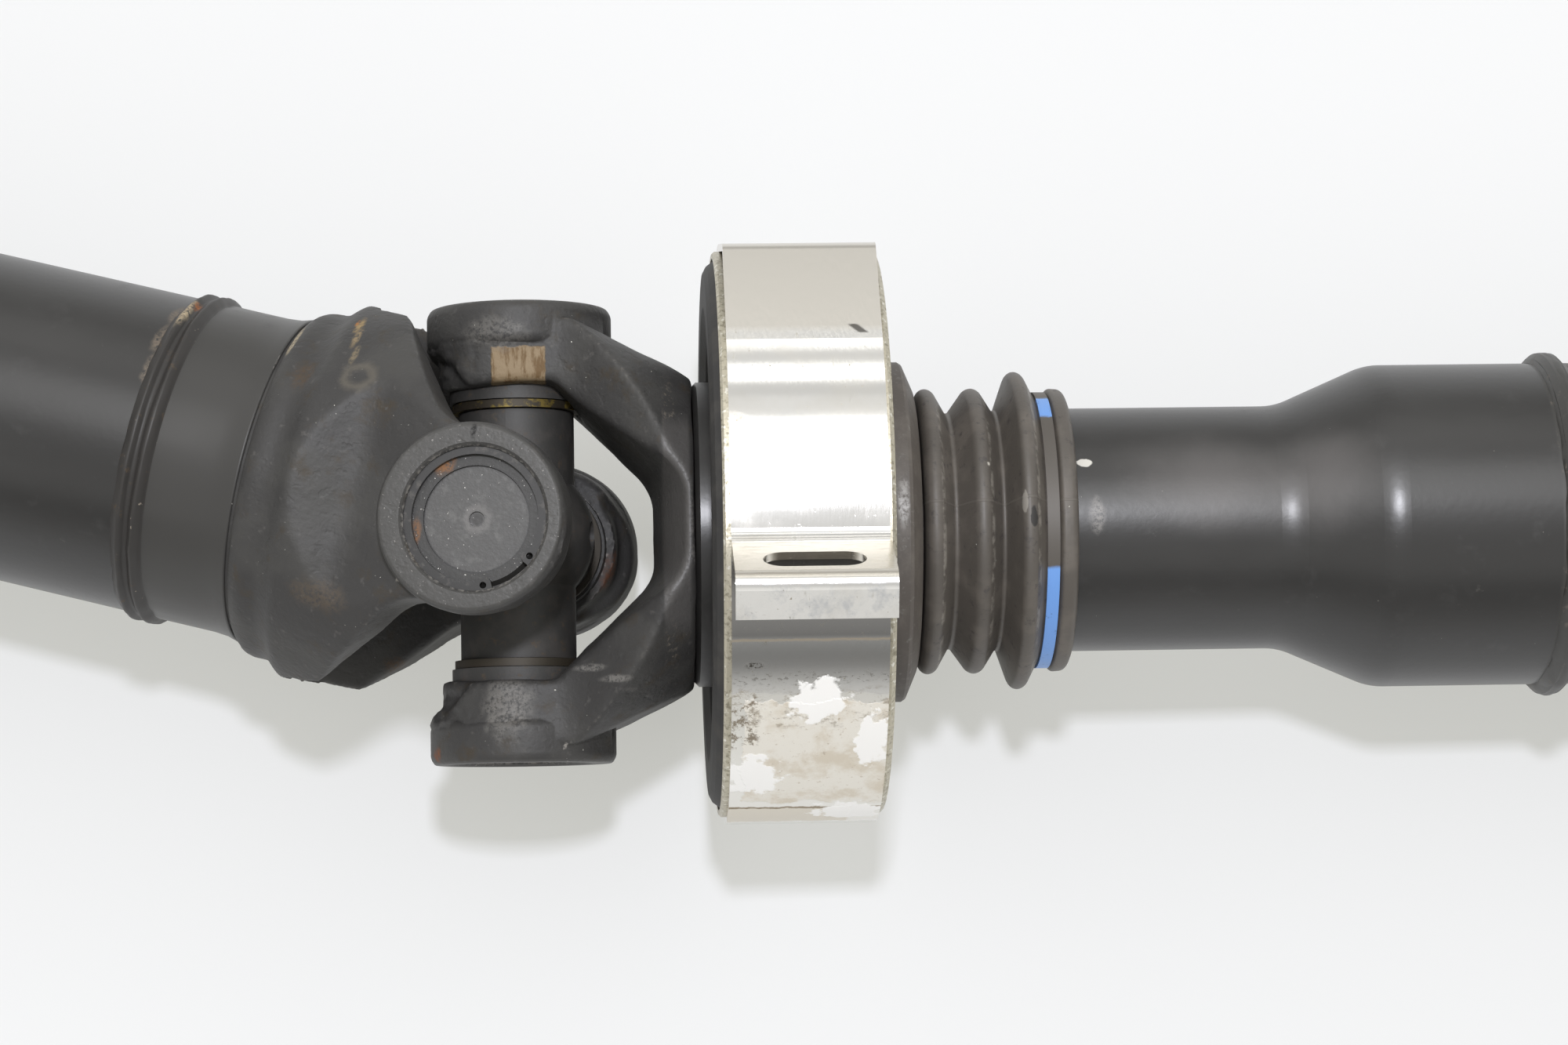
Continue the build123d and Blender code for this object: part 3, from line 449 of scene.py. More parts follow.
def lower_sheet():
    """The same sheet, with what is left of glued paper: torn beige and white scraps, and painted shade with a
    painted highlight under the lip.
    """
    skin = zinc_sheet("bright_zinc_sheet_lower", BEARING)
    across = skin.axis("X")
    down = skin.axis("Z")
    near = skin.ramp(skin.axis("Y"), -20, -30)
    # Near side just under the wings: grey that darkens towards the wings, with a darker strip at the top and
    # darker blotches in it, is painted shade and painted reflection of the lip's shaded underside.
    shade_under_lip = skin.both(near, skin.ramp(down, -12.0, -1.0))
    skin.coat(shade_under_lip, "#a9a9a8", 0.2)
    skin.coat(skin.both(near, skin.ramp(down, -1.6, -0.2)), "#858483", 0.24)
    skin.coat(skin.both(shade_under_lip, skin.mottle(0.6, 0.74, 1.4, 5.0, 0.75)), "#96938d", 0.36)
    # A thin pale line at the foot of the dark strip is a painted highlight: the lip's edge mirrored in the sheet.
    line = skin.band(down, -1.6, -1.1, 0.25, 0.3)
    skin.coat(skin.both(near, line), "#c9b79c", 0.5, strength=0.55)
    row = skin.band(down, -11.2, -8.6, 0.5, 1.6, 1.6)
    flecks = skin.both(row, skin.mottle(0.56, 0.6, 1.1, 4.0, 0.7, stretch=(0.8, 1, 1.6)))
    skin.coat(skin.both(near, flecks), "#6d6961", 0.6, strength=0.7)
    skin.stain((-11.2, -62.2, -6.9), (2.4, 3.0, 0.9), "#4c4842", 1.0, 0.6, 1.0)
    worn = skin.both(skin.band(across, -18, 18), skin.band(down, -54.0, -13.5, 0.6, 2.5, 6.0))
    skin.coat(skin.both(near, worn), "#e9e7e1", 0.5)
    wide = skin.band(across, -13.5, 18.0, 0.25, 3.0, 5.0)
    beige = skin.both(near, skin.both(wide, skin.band(down, -44.5, -15.5, 0.3, 3.0, 6.0)))
    skin.coat(beige, "#efece5", 0.8, 0.1)
    skin.coat(skin.both(beige, skin.mottle(0.44, 0.64, 9.0, 5.0, 0.65)), "#e3dccf", 0.8)
    skin.coat(skin.both(beige, skin.mottle(0.6, 0.74, 1.4, 4.0, 0.7)), "#d0c6b6", 0.8)
    torn = skin.band(down, -22.0, -12.5, 1.0, 2.0, 4.0)
    grime = skin.mottle(0.5, 0.66, 3.4, 5.0, 0.8, stretch=(0.7, 1, 1.2))
    skin.coat(skin.both(near, torn, grime), "#a29683", 0.75, strength=0.7)
    wide = skin.band(across, -16.5, -10.5, 0.6, 2.0, 2.5)
    brown = skin.both(wide, skin.band(down, -27.0, -14.0, 0.8, 2.0))
    flakes = skin.mottle(0.5, 0.6, 2.6, 5.0, 0.8)
    skin.coat(skin.both(near, brown, flakes), "#85765f", 0.75, strength=0.8)
    wide = skin.band(across, -18, 9.5, 0.3, 1.4)
    strip = skin.both(wide, skin.band(down, -54.0, -46.5, 0.3, 1.4))
    skin.coat(skin.both(near, strip), "#e7e2d8", 0.8, 0.1)
    skin.coat(skin.band(down, -46.9, -46.2, 0.2, 1.0), "#a89c88", 0.8)
    for spot, reach in (
        ((1.8, -60.6, -15.7), (5.4, 4.0, 4.6)),
        ((13.0, -57.2, -25.5), (3.4, 5.0, 7.4)),
        ((-11.8, -51.7, -35.3), (5.8, 6.0, 6.8)),
        ((9.4, -39.7, -48.4), (7.0, 8.0, 4.4)),
    ):
        skin.coat(skin.patch(spot, reach, 2.4, 3.0), "#fbfaf8", 0.82, 0.1)
    return skin


def zinc_edge():
    """Dull yellowed zinc of the rolled rings, speckled grey and beige."""
    skin = Finish("yellowed_zinc_ring", "#bcb6a4", 0.4, BEARING)
    skin.coat(skin.mottle(0.48, 0.66, 1.0, 4.0, 0.7), "#928c7b", 0.55)
    skin.coat(skin.mottle(0.58, 0.68, 1.2), "#dedbd0", 0.36)
    skin.grain(0.05, 0.7)
    return skin


def bellows_rubber():
    """Moulded rubber, dull brown-grey, with dust in the folds, a mould seam and small chips."""
    skin = Finish("moulded_bellows_rubber", "#55504a", 0.48, FRONT)
    skin.coat(skin.mottle(0.45, 0.7, 8, 4.0), "#625c55", 0.55)
    skin.coat(skin.mottle(0.56, 0.72, 2.5, 4.0, 0.7), "#474340", 0.6)
    for x in (89.9, 100.2, 109.6):
        line = skin.band(skin.axis("X"), x - 0.35, x + 0.35, 0.2, 0.3, 2.0)
        skin.coat(skin.both(line, skin.mottle(0.42, 0.6, 4, 4.0, 0.7)), "#827d75", 0.5)
    seam = skin.band(skin.around(), 172.4, 173.2, 0.25, 0.2, 3.0)
    skin.coat(seam, "#69645d", 0.6, 0.15, strength=0.4)
    for spot, reach, colour in (
        ((108.2, -33.6, 0.0), (0.8, 2.0, 2.2), "#2b2927"),
        ((106.4, -33.9, 3.2), (0.6, 2.0, 2.4), "#8a857d"),
        ((90.3, -30.0, 14.0), (1.6, 1.6, 1.6), "#b9b4aa"),
        ((100.2, -29.0, 12.0), (1.0, 1.4, 1.0), "#c2bdb2"),
    ):
        skin.coat(skin.patch(spot, reach, 0.9, 1.2), colour, 0.6)
    skin.grain(0.05, 1.0)
    dust(skin, share=0.15)
    return skin


def mount_rubber():
    """Bonded bearing rubber, near black and matt."""
    skin = Finish("bonded_mount_rubber", "#2c2b2a", 0.66, BEARING)
    skin.coat(skin.mottle(0.45, 0.7, 6, 4.0), "#3d3b38", 0.75)
    skin.grain(0.06, 1.2)
    return skin


def cup_steel(name, place):
    """Drawn bearing cup, black-oxided and oiled, with brown patches."""
    skin = Finish(name, "#393836", 0.56, place)
    skin.coat(skin.mottle(0.45, 0.7, 5, 4.0), "#44413e", 0.6)
    skin.coat(skin.mottle(0.56, 0.7, 2.2, 5.0, 0.7), "#4d4338", 0.66)
    skin.grain(0.04, 0.8)
    return skin


def rear_cup():
    """The rear cups: a lighter pressed disc inside a dark rim, orange spots and much grit."""
    skin = cup_steel("oxided_cup_rear", REAR)
    radius = skin.vector("LENGTH", skin.vector("MULTIPLY", skin.coords, (1, 1, 0)))
    disc = skin.ramp(radius, 11.2, 10.8)
    skin.coat(skin.ramp(radius, 11.0, 11.4), "#2e2d2b", 0.46)
    skin.coat(disc, "#4c4b4a", 0.34)
    skin.coat(skin.both(disc, skin.mottle(0.5, 0.7, 3.5, 5.0, 0.7)), "#5a5957", 0.42)
    skin.coat(skin.band(radius, 10.8, 11.3, 0.2), "#2b2a29", 0.5)
    skin.coat(skin.band(radius, 1.6, 2.9, 0.8, 1.2, 1.4), "#7c7976", 0.5, strength=0.4)
    skin.coat(skin.ramp(radius, 1.4, 1.0), "#2e2c2a", 0.5, strength=0.7)
    skin.stain((11.8, 7.3, 46.0), (1.2, 4.5, 2.0), "#8a5f38", 0.9)
    skin.stain((9.5, -9.8, 46.0), (2.4, 2.4, 2.0), "#8a5f38", 0.9)
    dust(skin, "#dedbd4", 0.42, 0.75)
    return skin


def spring_steel():
    """Spring wire ring, blackened, with an oily glint."""
    skin = Finish("blackened_spring_steel", "#262524", 0.36, REAR)
    skin.coat(skin.mottle(0.52, 0.68, 2.5, 4.0, 0.7), "#45423e", 0.46)
    return skin


def ground_steel():
    """Ground bearing steel, clean and bright."""
    skin = Finish("ground_bearing_steel", "#a9a8a5", 0.28, FRONT)
    skin.coat(skin.mottle(0.5, 0.7, 3), "#8f8e8a", 0.34)
    return skin


def seal_shell(name, bare):
    """Yellow-passivated seal shell under brown grease. More of it shows as bare goes up."""
    skin = Finish(name, "#75652f", 0.5, FRONT)
    skin.coat(skin.mottle(bare, bare + 0.12, 3.5, 4.0, 0.7), "#3a342a", 0.55)
    return skin


def blue_band():
    """Strip band in cornflower blue, blackened where the old paint still covers it."""
    skin = Finish("blue_strip_band", "#55504a", 0.5, FRONT)
    turn = skin.around()
    low_run = skin.band(turn, -160, -84, 1.0, 1.0, 3.0)
    top_run = skin.band(turn, 114, 131, 1.0, 2.0, 2.0)
    bare = skin.math("MAXIMUM", low_run, top_run)
    skin.coat(bare, "#6f9fe2", 0.42)
    skin.coat(skin.both(bare, skin.mottle(0.6, 0.7, 1.8, 4.0, 0.7)), "#5a83bd", 0.5)
    return skin


# How strongly the forgings' dip paint and the tubes' paint mirror the room
DULL = {"Specular_IOR_Level": 0.34}
GLOSSY = {"Specular_IOR_Level": 0.66}


def make_materials():
    """Every material, by the short name that pieces and NODE_FINISH use."""
    return {
        "stub_forging": stub_forging().done(**DULL),
        "rear_forging": rear_forging().done(**DULL),
        "front_paint": front_paint().done(**GLOSSY),
        "rear_paint": rear_paint().done(**GLOSSY),
        "cap_paint": dark_cap().done(),
        "upper_zinc": upper_sheet().done(metallic=1.0),
        "lower_zinc": lower_sheet().done(metallic=1.0),
        "dull_zinc": zinc_edge().done(metallic=0.7),
        "bellows": bellows_rubber().done(),
        "mount": mount_rubber().done(),
        "stub_cup": cup_steel("oxided_cup_stub", FRONT).done(),
        "rear_cup": rear_cup().done(),
        "spring": spring_steel().done(),
        "bearing": ground_steel().done(metallic=1.0),
        "seal": seal_shell("yellow_zinc_seal", 0.38).done(metallic=0.5),
        "greasy_seal": seal_shell("grease_covered_seal", 0.22).done(metallic=0.3),
        "blue": blue_band().done(),
    }


MATERIALS = {}

# The model's nodes by finish
NODE_FINISH = {
    "stub_forging": "stub_yoke",
    "rear_forging": "rear_yoke",
    "front_paint": "stub_dust_shield slip_tube spline_plug front_tube front_flange",
    "rear_paint": "rear_tube rear_flange",
    "cap_paint": "dust_cap",
    "stub_cup": "cross stub_cup_back stub_cup_front",
    "rear_cup": "rear_cup_top rear_cup_bottom",
    "spring": "stub_snap_rings rear_snap_rings bearing_circlip",
    "seal": "stub_seal_back",
    "greasy_seal": "stub_seal_front rear_seal_top rear_seal_bottom",
    "bearing": "stub_needle_rollers rear_needle_rollers bearing_inner_race bearing_outer_race"
    " bearing_balls ball_cage",
    "mount": "bearing_seal_rear bearing_seal_front rubber_mount",
    "dull_zinc": "bearing_housing mount_ring",
    "upper_zinc": "bracket_upper",
    "lower_zinc": "bracket_lower",
    "bellows": "boot",
    "blue": "boot_clamp",
}


# Mesh helpers


def new_piece(name, bm, place, body, material, smooth_deg):
    """Turns a bmesh in local millimetres into a piece, which rides on a body if one is named."""
    bmesh.ops.remove_doubles(bm, verts=bm.verts, dist=MERGE)
    bmesh.ops.recalc_face_normals(bm, faces=bm.faces)
    bmesh.ops.transform(bm, matrix=place, verts=bm.verts)
    mesh = bpy.data.meshes.new(name)
    bm.to_mesh(mesh)
    bm.free()
    mesh.shade_smooth()
    mesh.set_sharp_from_angle(angle=radians(smooth_deg))
    mesh.materials.append(MATERIALS[material])
    piece = bpy.data.objects.new(name, mesh)
    bpy.context.scene.collection.objects.link(piece)
    if body:
        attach(piece, body)
    return piece


def turned_piece(profile, steps, turn=None):
    """Spins a closed profile about X, with an optional matrix that sets it elsewhere.

    Points are (x, radius) or (x, radius, rounding), with roundings as bevelled corners.
    """
    bm = bmesh.new()
    verts = [bm.verts.new((point[0], 0.0, point[1])) for point in profile]
    for pair in zip(verts, verts[1:] + verts[:1]):
        bm.edges.new(pair)
    rounded = [(vert, point[2]) for vert, point in zip(verts, profile) if len(point) == 3]
    for radius in sorted({rounding for _, rounding in rounded}):
        round_verts = [vert for vert, rounding in rounded if rounding == radius]
        bmesh.ops.bevel(
            bm,
            geom=round_verts,
            offset=radius,
            offset_type="OFFSET",
            segments=5,
            profile=0.5,
            affect="VERTICES",
            material=-1,
        )
    bmesh.ops.spin(
        bm,
        geom=bm.verts[:] + bm.edges[:],
        cent=(0, 0, 0),
        axis=(1, 0, 0),
        angle=2 * pi,
        steps=steps,
        use_merge=True,
    )
    bmesh.ops.remove_doubles(bm, verts=bm.verts, dist=MERGE)
    bmesh.ops.recalc_face_normals(bm, faces=bm.faces)
    if turn:
        bmesh.ops.transform(bm, matrix=turn, verts=bm.verts)
    return bm


def model_copy(node, place):
    """The model's own mesh of a node, welded, in local millimetres."""
    bm = bmesh.new()
    bm.from_mesh(NODES[node].data)
    bmesh.ops.transform(bm, matrix=place.inverted(), verts=bm.verts)
    bmesh.ops.remove_doubles(bm, verts=bm.verts, dist=COPY_MERGE)
    return bm


def shortened(bm, x, keep_below):
    """Cuts a closed shell square across at x and caps the cut."""
    sliced = bmesh.ops.bisect_plane(
        bm,
        geom=bm.verts[:] + bm.edges[:] + bm.faces[:],
        dist=0.0001,
        plane_co=(x, 0, 0),
        plane_no=(1, 0, 0),
        clear_outer=keep_below,
        clear_inner=not keep_below,
    )
    rim = [item for item in sliced["geom_cut"] if isinstance(item, bmesh.types.BMEdge)]
    bmesh.ops.triangle_fill(bm, use_beauty=True, edges=rim)
    bmesh.ops.recalc_face_normals(bm, faces=bm.faces)
    return bm


def reworked(bm, kind, other=None, **settings):
    """Runs one modifier over a bmesh, with another as its tool, and frees both."""
    holders = []
    for source in [bm] + ([other] if other else []):
        mesh = bpy.data.meshes.new("blank")
        source.to_mesh(mesh)
        source.free()
        holders.append(bpy.data.objects.new("blank", mesh))
        bpy.context.scene.collection.objects.link(holders[-1])
    modifier = holders[0].modifiers.new(kind, kind)
    for key, value in settings.items():
        setattr(modifier, key, value)
    if other:
        modifier.object = holders[1]
    context = bpy.context.evaluated_depsgraph_get()
    made = bpy.data.meshes.new_from_object(holders[0].evaluated_get(context))
    result = bmesh.new()
    result.from_mesh(made)
    bpy.data.meshes.remove(made)
    for holder in holders:
        mesh = holder.data
        bpy.data.objects.remove(holder)
        bpy.data.meshes.remove(mesh)
    return result


def combined(bm, tool, operation):
    """Joins a tool to a closed shell, or cuts it out of one."""
    return reworked(bm, "BOOLEAN", tool, operation=operation, solver="MANIFOLD")


def roughened(bm, waves, shift, where):
    """Pushes a surface in and out by fixed noise, at the spots where the test holds.

    Waves are (size, height) in millimetres, and shift picks the stretch of noise.
    """
    bm.normal_update()
    for vert in bm.verts:
        if where(vert.co):
            push = sum(height * noise.noise(vert.co / size + shift) for size, height in waves)
            vert.co += vert.normal * push


# Stage


class StageSettings(bpy.types.PropertyGroup):
    """Where the camera stands, and the floor's colours"""

    distance: bpy.props.FloatProperty(
        name="Camera distance", description="From the view's centre", default=0.85, unit="LENGTH"
    )
    elevation: bpy.props.FloatProperty(
        name="Elevation",
        description="Camera angle above the floor",
        default=radians(74.0),
        subtype="ANGLE",
    )
    azimuth: bpy.props.FloatProperty(
        name="Azimuth",
        description="Camera turn round the object",
        default=radians(-1.46),
        subtype="ANGLE",
    )
    field: bpy.props.FloatProperty(
        name="Field of view",
        description="Across the picture",
        default=radians(22.6),
        subtype="ANGLE",
    )
    floor_colour: bpy.props.StringProperty(
        name="Floor colour", description="sRGB hex of the floor for light", default="#e2e2e1"
    )
    seen_colour: bpy.props.StringProperty(
        name="Seen colour",
        description="sRGB hex of the floor for the camera and in metal",
        default="#b6b7bc",
    )
    floor_lift: bpy.props.FloatProperty(
        name="Floor lift",
        description="Brightness that the floor has of itself for the camera and in metal",
        default=0.4,
    )


# Half the floor's side, and how far the view's centre lies from the joint, in metres
FLOOR_HALF = 20.0
VIEW_ALONG = 0.0576
VIEW_BACK = 0.0025
# Name, spot, size, power, colour, and whether it lights matt surfaces as well as gloss
LAMPS = (
    ("key_lamp", (-0.03, -0.03, 1.2), (0.075, 0.075), 7.4, "#f6f7ff", True),
    ("overhead_softbox", (0.0, 0.265, 1.25), (1.5, 0.69), 5.6, "#ffffff", False),
)
ROOM_TINT = (1.0, 0.992, 0.96)
# What the camera sees past the floor, and the floor's own glow
BACKDROP = "#f4f4f3"
GLOW = "#fffff5"
# How bright the white room is by the angle from straight up, minus towards the camera
ROOM = (
    (-180, 0.5),
    (-110, 0.72),
    (-84, 0.66),
    (-74, 0.42),
    (-68, 0.27),
    (-62, 0.3),
    (-56, 0.72),
    (-48, 0.95),
    (-20, 0.62),
    (0, 0.7),
    (28, 0.82),
    (38, 0.84),
    (40.5, 0.66),
    (45, 0.68),
    (46.5, 1.7),
    (53, 1.7),
    (54.5, 0.7),
    (61, 0.74),
    (62, 2.0),
    (64, 2.0),
    (65.5, 0.6),
    (90, 0.6),
    (110, 0.5),
    (180, 0.5),
)


def hang_room(scene):
    """World light that goes by the angle from straight up. The camera sees a plain backdrop."""
    world = bpy.data.worlds.new("soft_white_room")
    scene.world = world
    world.use_nodes = True
    tree = world.node_tree
    tree.nodes.clear()
    direction = add(tree, "ShaderNodeTexCoord").outputs["Generated"]
    y, z = add(tree, "ShaderNodeSeparateXYZ", Vector=direction).outputs[1:3]
    lean = add(tree, "ShaderNodeMath", {"operation": "ARCTAN2"}, _0=y, _1=z)
    place = add(tree, "ShaderNodeMapRange", Value=lean.outputs[0], _1=-pi, _2=pi)
    levels = add(tree, "ShaderNodeValToRGB", Fac=place.outputs[0])
    stops = levels.color_ramp.elements
    for angle, level in ROOM:
        position = (angle + 180) / 360
        if position == 0:
            stop = stops[0]
        elif position == 1:
            stop = stops[-1]
        else:
            stop = stops.new(position)
        stop.color = [level * tint for tint in ROOM_TINT] + [1]
    seen = add(tree, "ShaderNodeLightPath").outputs["Is Camera Ray"]
    backdrop = mixed(tree, seen, levels.outputs[0], linear(BACKDROP))
    sky = add(tree, "ShaderNodeBackground", Color=backdrop, Strength=1.0)
    add(tree, "ShaderNodeOutputWorld", Surface=sky.outputs[0])


def paper_floor(values):
    """Matt white paper. To the camera and in metal it's greyer but lit of itself, so that the
    sheet stays white under the shaft and keeps a pale shadow.
    """
    sheet = bpy.data.materials.new("white_paper_floor")
    sheet.use_nodes = True
    tree = sheet.node_tree
    tree.nodes.clear()
    rays = add(tree, "ShaderNodeLightPath").outputs
    seen = add(
        tree,
        "ShaderNodeMath",
        {"operation": "MAXIMUM"},
        _0=rays["Is Camera Ray"],
        _1=rays["Is Glossy Ray"],
    ).outputs[0]
    colour = mixed(tree, seen, linear(values.floor_colour), linear(values.seen_colour))
    surface = add(
        tree,
        "ShaderNodeBsdfPrincipled",
        Base_Color=colour,
        Roughness=0.9,
        Specular_IOR_Level=0.1,
    )
    glow = add(tree, "ShaderNodeMath", {"operation": "MULTIPLY"}, _0=seen, _1=values.floor_lift)
    lift = add(tree, "ShaderNodeEmission", Color=linear(GLOW), Strength=glow.outputs[0])
    both = add(tree, "ShaderNodeAddShader", _0=surface.outputs[0], _1=lift.outputs[0])
    add(tree, "ShaderNodeOutputMaterial", Surface=both.outputs[0])
    return sheet


def hang_lamps(scene):
    """Soft rectangular lamps that face straight down."""
    for name, spot, size, power, colour, lights_all in LAMPS:
        lamp = bpy.data.lights.new(name, "AREA")
        lamp.shape = "RECTANGLE"
        lamp.size, lamp.size_y = size
        lamp.energy = power
        lamp.color = linear(colour)[:3]
        holder = bpy.data.objects.new(name, lamp)
        holder.matrix_world = Matrix.Translation(Vector(spot))
        holder.visible_diffuse = lights_all
        scene.collection.objects.link(holder)


def set_camera(scene, values):
    """Camera that looks down at the joint from the side of -Y."""
    camera = bpy.data.cameras.new("camera")
    camera.sensor_width = 36.0
    camera.angle = values.field
    holder = bpy.data.objects.new("camera", camera)
    target = JOINT_CENTRE + SHAFT_AXIS * VIEW_ALONG + Vector((0, VIEW_BACK, 0))
    flat = cos(values.elevation)
    look = Vector(
        (-sin(values.azimuth) * flat, cos(values.azimuth) * flat, -sin(values.elevation))
    )
    right = look.cross(Vector((0, 0, 1))).normalized()
    up = right.cross(look)
    turn = Matrix((right, up, -look)).transposed().to_4x4()
    holder.matrix_world = Matrix.Translation(target - look * values.distance) @ turn
    scene.collection.objects.link(holder)
    scene.camera = holder


class DRIVESHAFT_OT_stage(bpy.types.Operator):
    """Lays the pale floor, hangs the soft lamps and sets the camera"""

    bl_idname = "driveshaft.stage"
    bl_label = "Stage"

    def execute(self, context):
        values = context.scene.driveshaft_stage
        bm = bmesh.new()
        bmesh.ops.create_grid(bm, x_segments=1, y_segments=1, size=FLOOR_HALF)
        mesh = bpy.data.meshes.new("floor")
        bm.to_mesh(mesh)
        bm.free()
        mesh.materials.append(paper_floor(values))
        floor = bpy.data.objects.new("floor", mesh)
        context.scene.collection.objects.link(floor)
        hang_room(context.scene)
        hang_lamps(context.scene)
        set_camera(context.scene, values)
        context.scene.view_settings.view_transform = "Standard"
        return {"FINISHED"}


# Finishes of the model's own pieces


class DRIVESHAFT_OT_finishes(bpy.types.Operator):
    """Gives every piece of the model its real finish"""

    bl_idname = "driveshaft.finishes"
    bl_label = "Finishes"

    def execute(self, context):
        MATERIALS.update(make_materials())
        for finish, names in NODE_FINISH.items():
            for name in names.split():
                slots = NODES[name].data.materials
                slots.clear()
                slots.append(MATERIALS[finish])
        return {"FINISHED"}


# Forgings


class ForgingSettings(bpy.types.PropertyGroup):
    """Grain of the forgings, and the bores and grooves cut in their ears"""

    voxel: bpy.props.FloatProperty(
        name="Grain", description="Mesh size of the forgings in millimetres", default=0.85
    )
    bore_r: bpy.props.FloatProperty(
        name="Ear bore", description="Radius in millimetres", default=14.32
    )
    groove_r: bpy.props.FloatProperty(
        name="Ring groove", description="Radius in millimetres", default=15.7
    )
    ear_half: bpy.props.FloatProperty(
        name="Ear face", description="From the joint centre in millimetres", default=EAR_FACE
    )


EAR_STEPS = 128
TUBE_STEPS = 160
SMOOTH_PASSES = 3
# Plug that fills an ear's bore while the skin is made: radius, depth, middle from the joint
PLUG = (16.2, 17.6, 40.1)
# Unevenness of forged skin: size and height of each wave
SKIN_WAVES = ((15, 0.5), (5, 0.1), (1.8, 0.04))


def ear_cutter(values, side):
    """Spun tool for one ear: bore, snap-ring groove and mouth chamfer."""
    mouth = values.ear_half
    bore = values.bore_r
    groove = (mouth - 3.05, mouth - 1.35)
    profile = [
        (24.0, 0),
        (24.0, bore),
        (groove[0], bore),
        (groove[0], values.groove_r),
        (groove[1], values.groove_r),
        (groove[1], bore + 0.5),
        (mouth - 0.9, bore + 0.5),
        (mouth + 0.2, bore + 1.4),
        (mouth + 2.0, bore + 1.4),
        (mouth + 2.0, 0),
    ]
    return turned_piece(profile, EAR_STEPS, Matrix.Rotation(-side * pi / 2, 4, "Y"))


def ear_boss(side, radius, shift_x):
    """Round boss of one ear, with the corner its forging die left."""
    profile = [
        (39.4, 0),
        (39.4, radius - 1.6, 1.2),
        (41.0, radius, 1.0),
        (EAR_FACE - 1.4, radius, 0.7),
        (EAR_FACE, radius - 0.9, 0.4),
        (EAR_FACE, 0),
    ]
    turn = Matrix.Translation((shift_x, 0, 0)) @ Matrix.Rotation(-side * pi / 2, 4, "Y")
    return turned_piece(profile, EAR_STEPS, turn)


def forged(node, place, cut_x, values, shift, boss, lip_waves):
    """Fork of the model's own shape up to cut_x, with a forging's soft corners and uneven skin.

    Boss is the ear bosses' (radius, x), and lip_waves roughen the parting lip round the ears.
    """

    def off_machined(spot):
        """Whether a point is forged skin, and not an ear's face or the cut."""
        return abs(spot.z) <= EAR_FACE - 1.0 and spot.x <= cut_x - 1.5

    def at_lip(spot):
        """Whether a point is on the lip where the dies met."""
        return spot.x < -8 and 34 < abs(spot.z) < 41

    bm = shortened(model_copy(node, place), cut_x, True)
    radius, depth, middle = PLUG
    for side in (-1, 1):
        bmesh.ops.create_cone(
            bm,
            cap_ends=True,
            segments=96,
            radius1=radius,
            radius2=radius,
            depth=depth,
            matrix=Matrix.Translation((0, 0, side * middle)),
        )
    bm = reworked(bm, "REMESH", mode="VOXEL", voxel_size=values.voxel)
    for _ in range(SMOOTH_PASSES):
        bmesh.ops.smooth_vert(
            bm, verts=bm.verts, factor=0.5, use_axis_x=True, use_axis_y=True, use_axis_z=True
        )
    roughened(bm, SKIN_WAVES, shift, off_machined)
    roughened(bm, lip_waves, shift * 2, at_lip)
    for side in (-1, 1):
        bm = combined(bm, ear_boss(side, *boss), "UNION")
    for side in (-1, 1):
        bm = combined(bm, ear_cutter(values, side), "DIFFERENCE")
    return bm


# The stub fork is remade up to the cut, and keeps the model's own shaft from the join on
STUB_CUT_X = 43.0
STUB_JOIN_X = 42.0
# Sharper corners than this stay sharp in the shading of a forging
FORGED_DEG = 38.0


class DRIVESHAFT_OT_stub_forging(bpy.types.Operator):
    """Forges the stub fork and joins its splined shaft"""

    bl_idname = "driveshaft.stub_forging"
    bl_label = "Stub fork"

    def execute(self, context):
        fork = forged(
            "stub_yoke",
            FRONT,
            cut_x=STUB_CUT_X,
            values=context.scene.driveshaft_forging,
            shift=Vector((7.3, 1.1, 4.2)),
            boss=(19.9, 0.8),
            lip_waves=((3.4, 0.9), (1.6, 0.3)),
        )
        shaft = shortened(model_copy("stub_yoke", FRONT), STUB_JOIN_X, False)
        whole = combined(fork, shaft, "UNION")
        piece = new_piece(
            "stub_fork_forging", whole, FRONT, "stub_shaft", "stub_forging", FORGED_DEG
        )
        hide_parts("stub_yoke")
        return {"FINISHED"}


def weld_ridges(x, low_r):
    """Outer profile of friction-weld flash: two curls with a groove down to low_r between."""
    return [
        (x - 3.5, TUBE_R),
        (x - 2.8, TUBE_R + 0.9, 0.4),
        (x - 1.7, TUBE_R + 1.9, 0.6),
        (x - 0.4, low_r, 0.3),
        (x + 0.4, low_r, 0.3),
        (x + 1.5, TUBE_R + 1.8, 0.6),
        (x + 2.6, TUBE_R + 0.8, 0.4),
        (x + 3.4, TUBE_R),
    ]


def outside_tube(spot):
    """Whether a point stands out of the tube, as the curls do."""
    return spot.yz.length > TUBE_R - 0.1


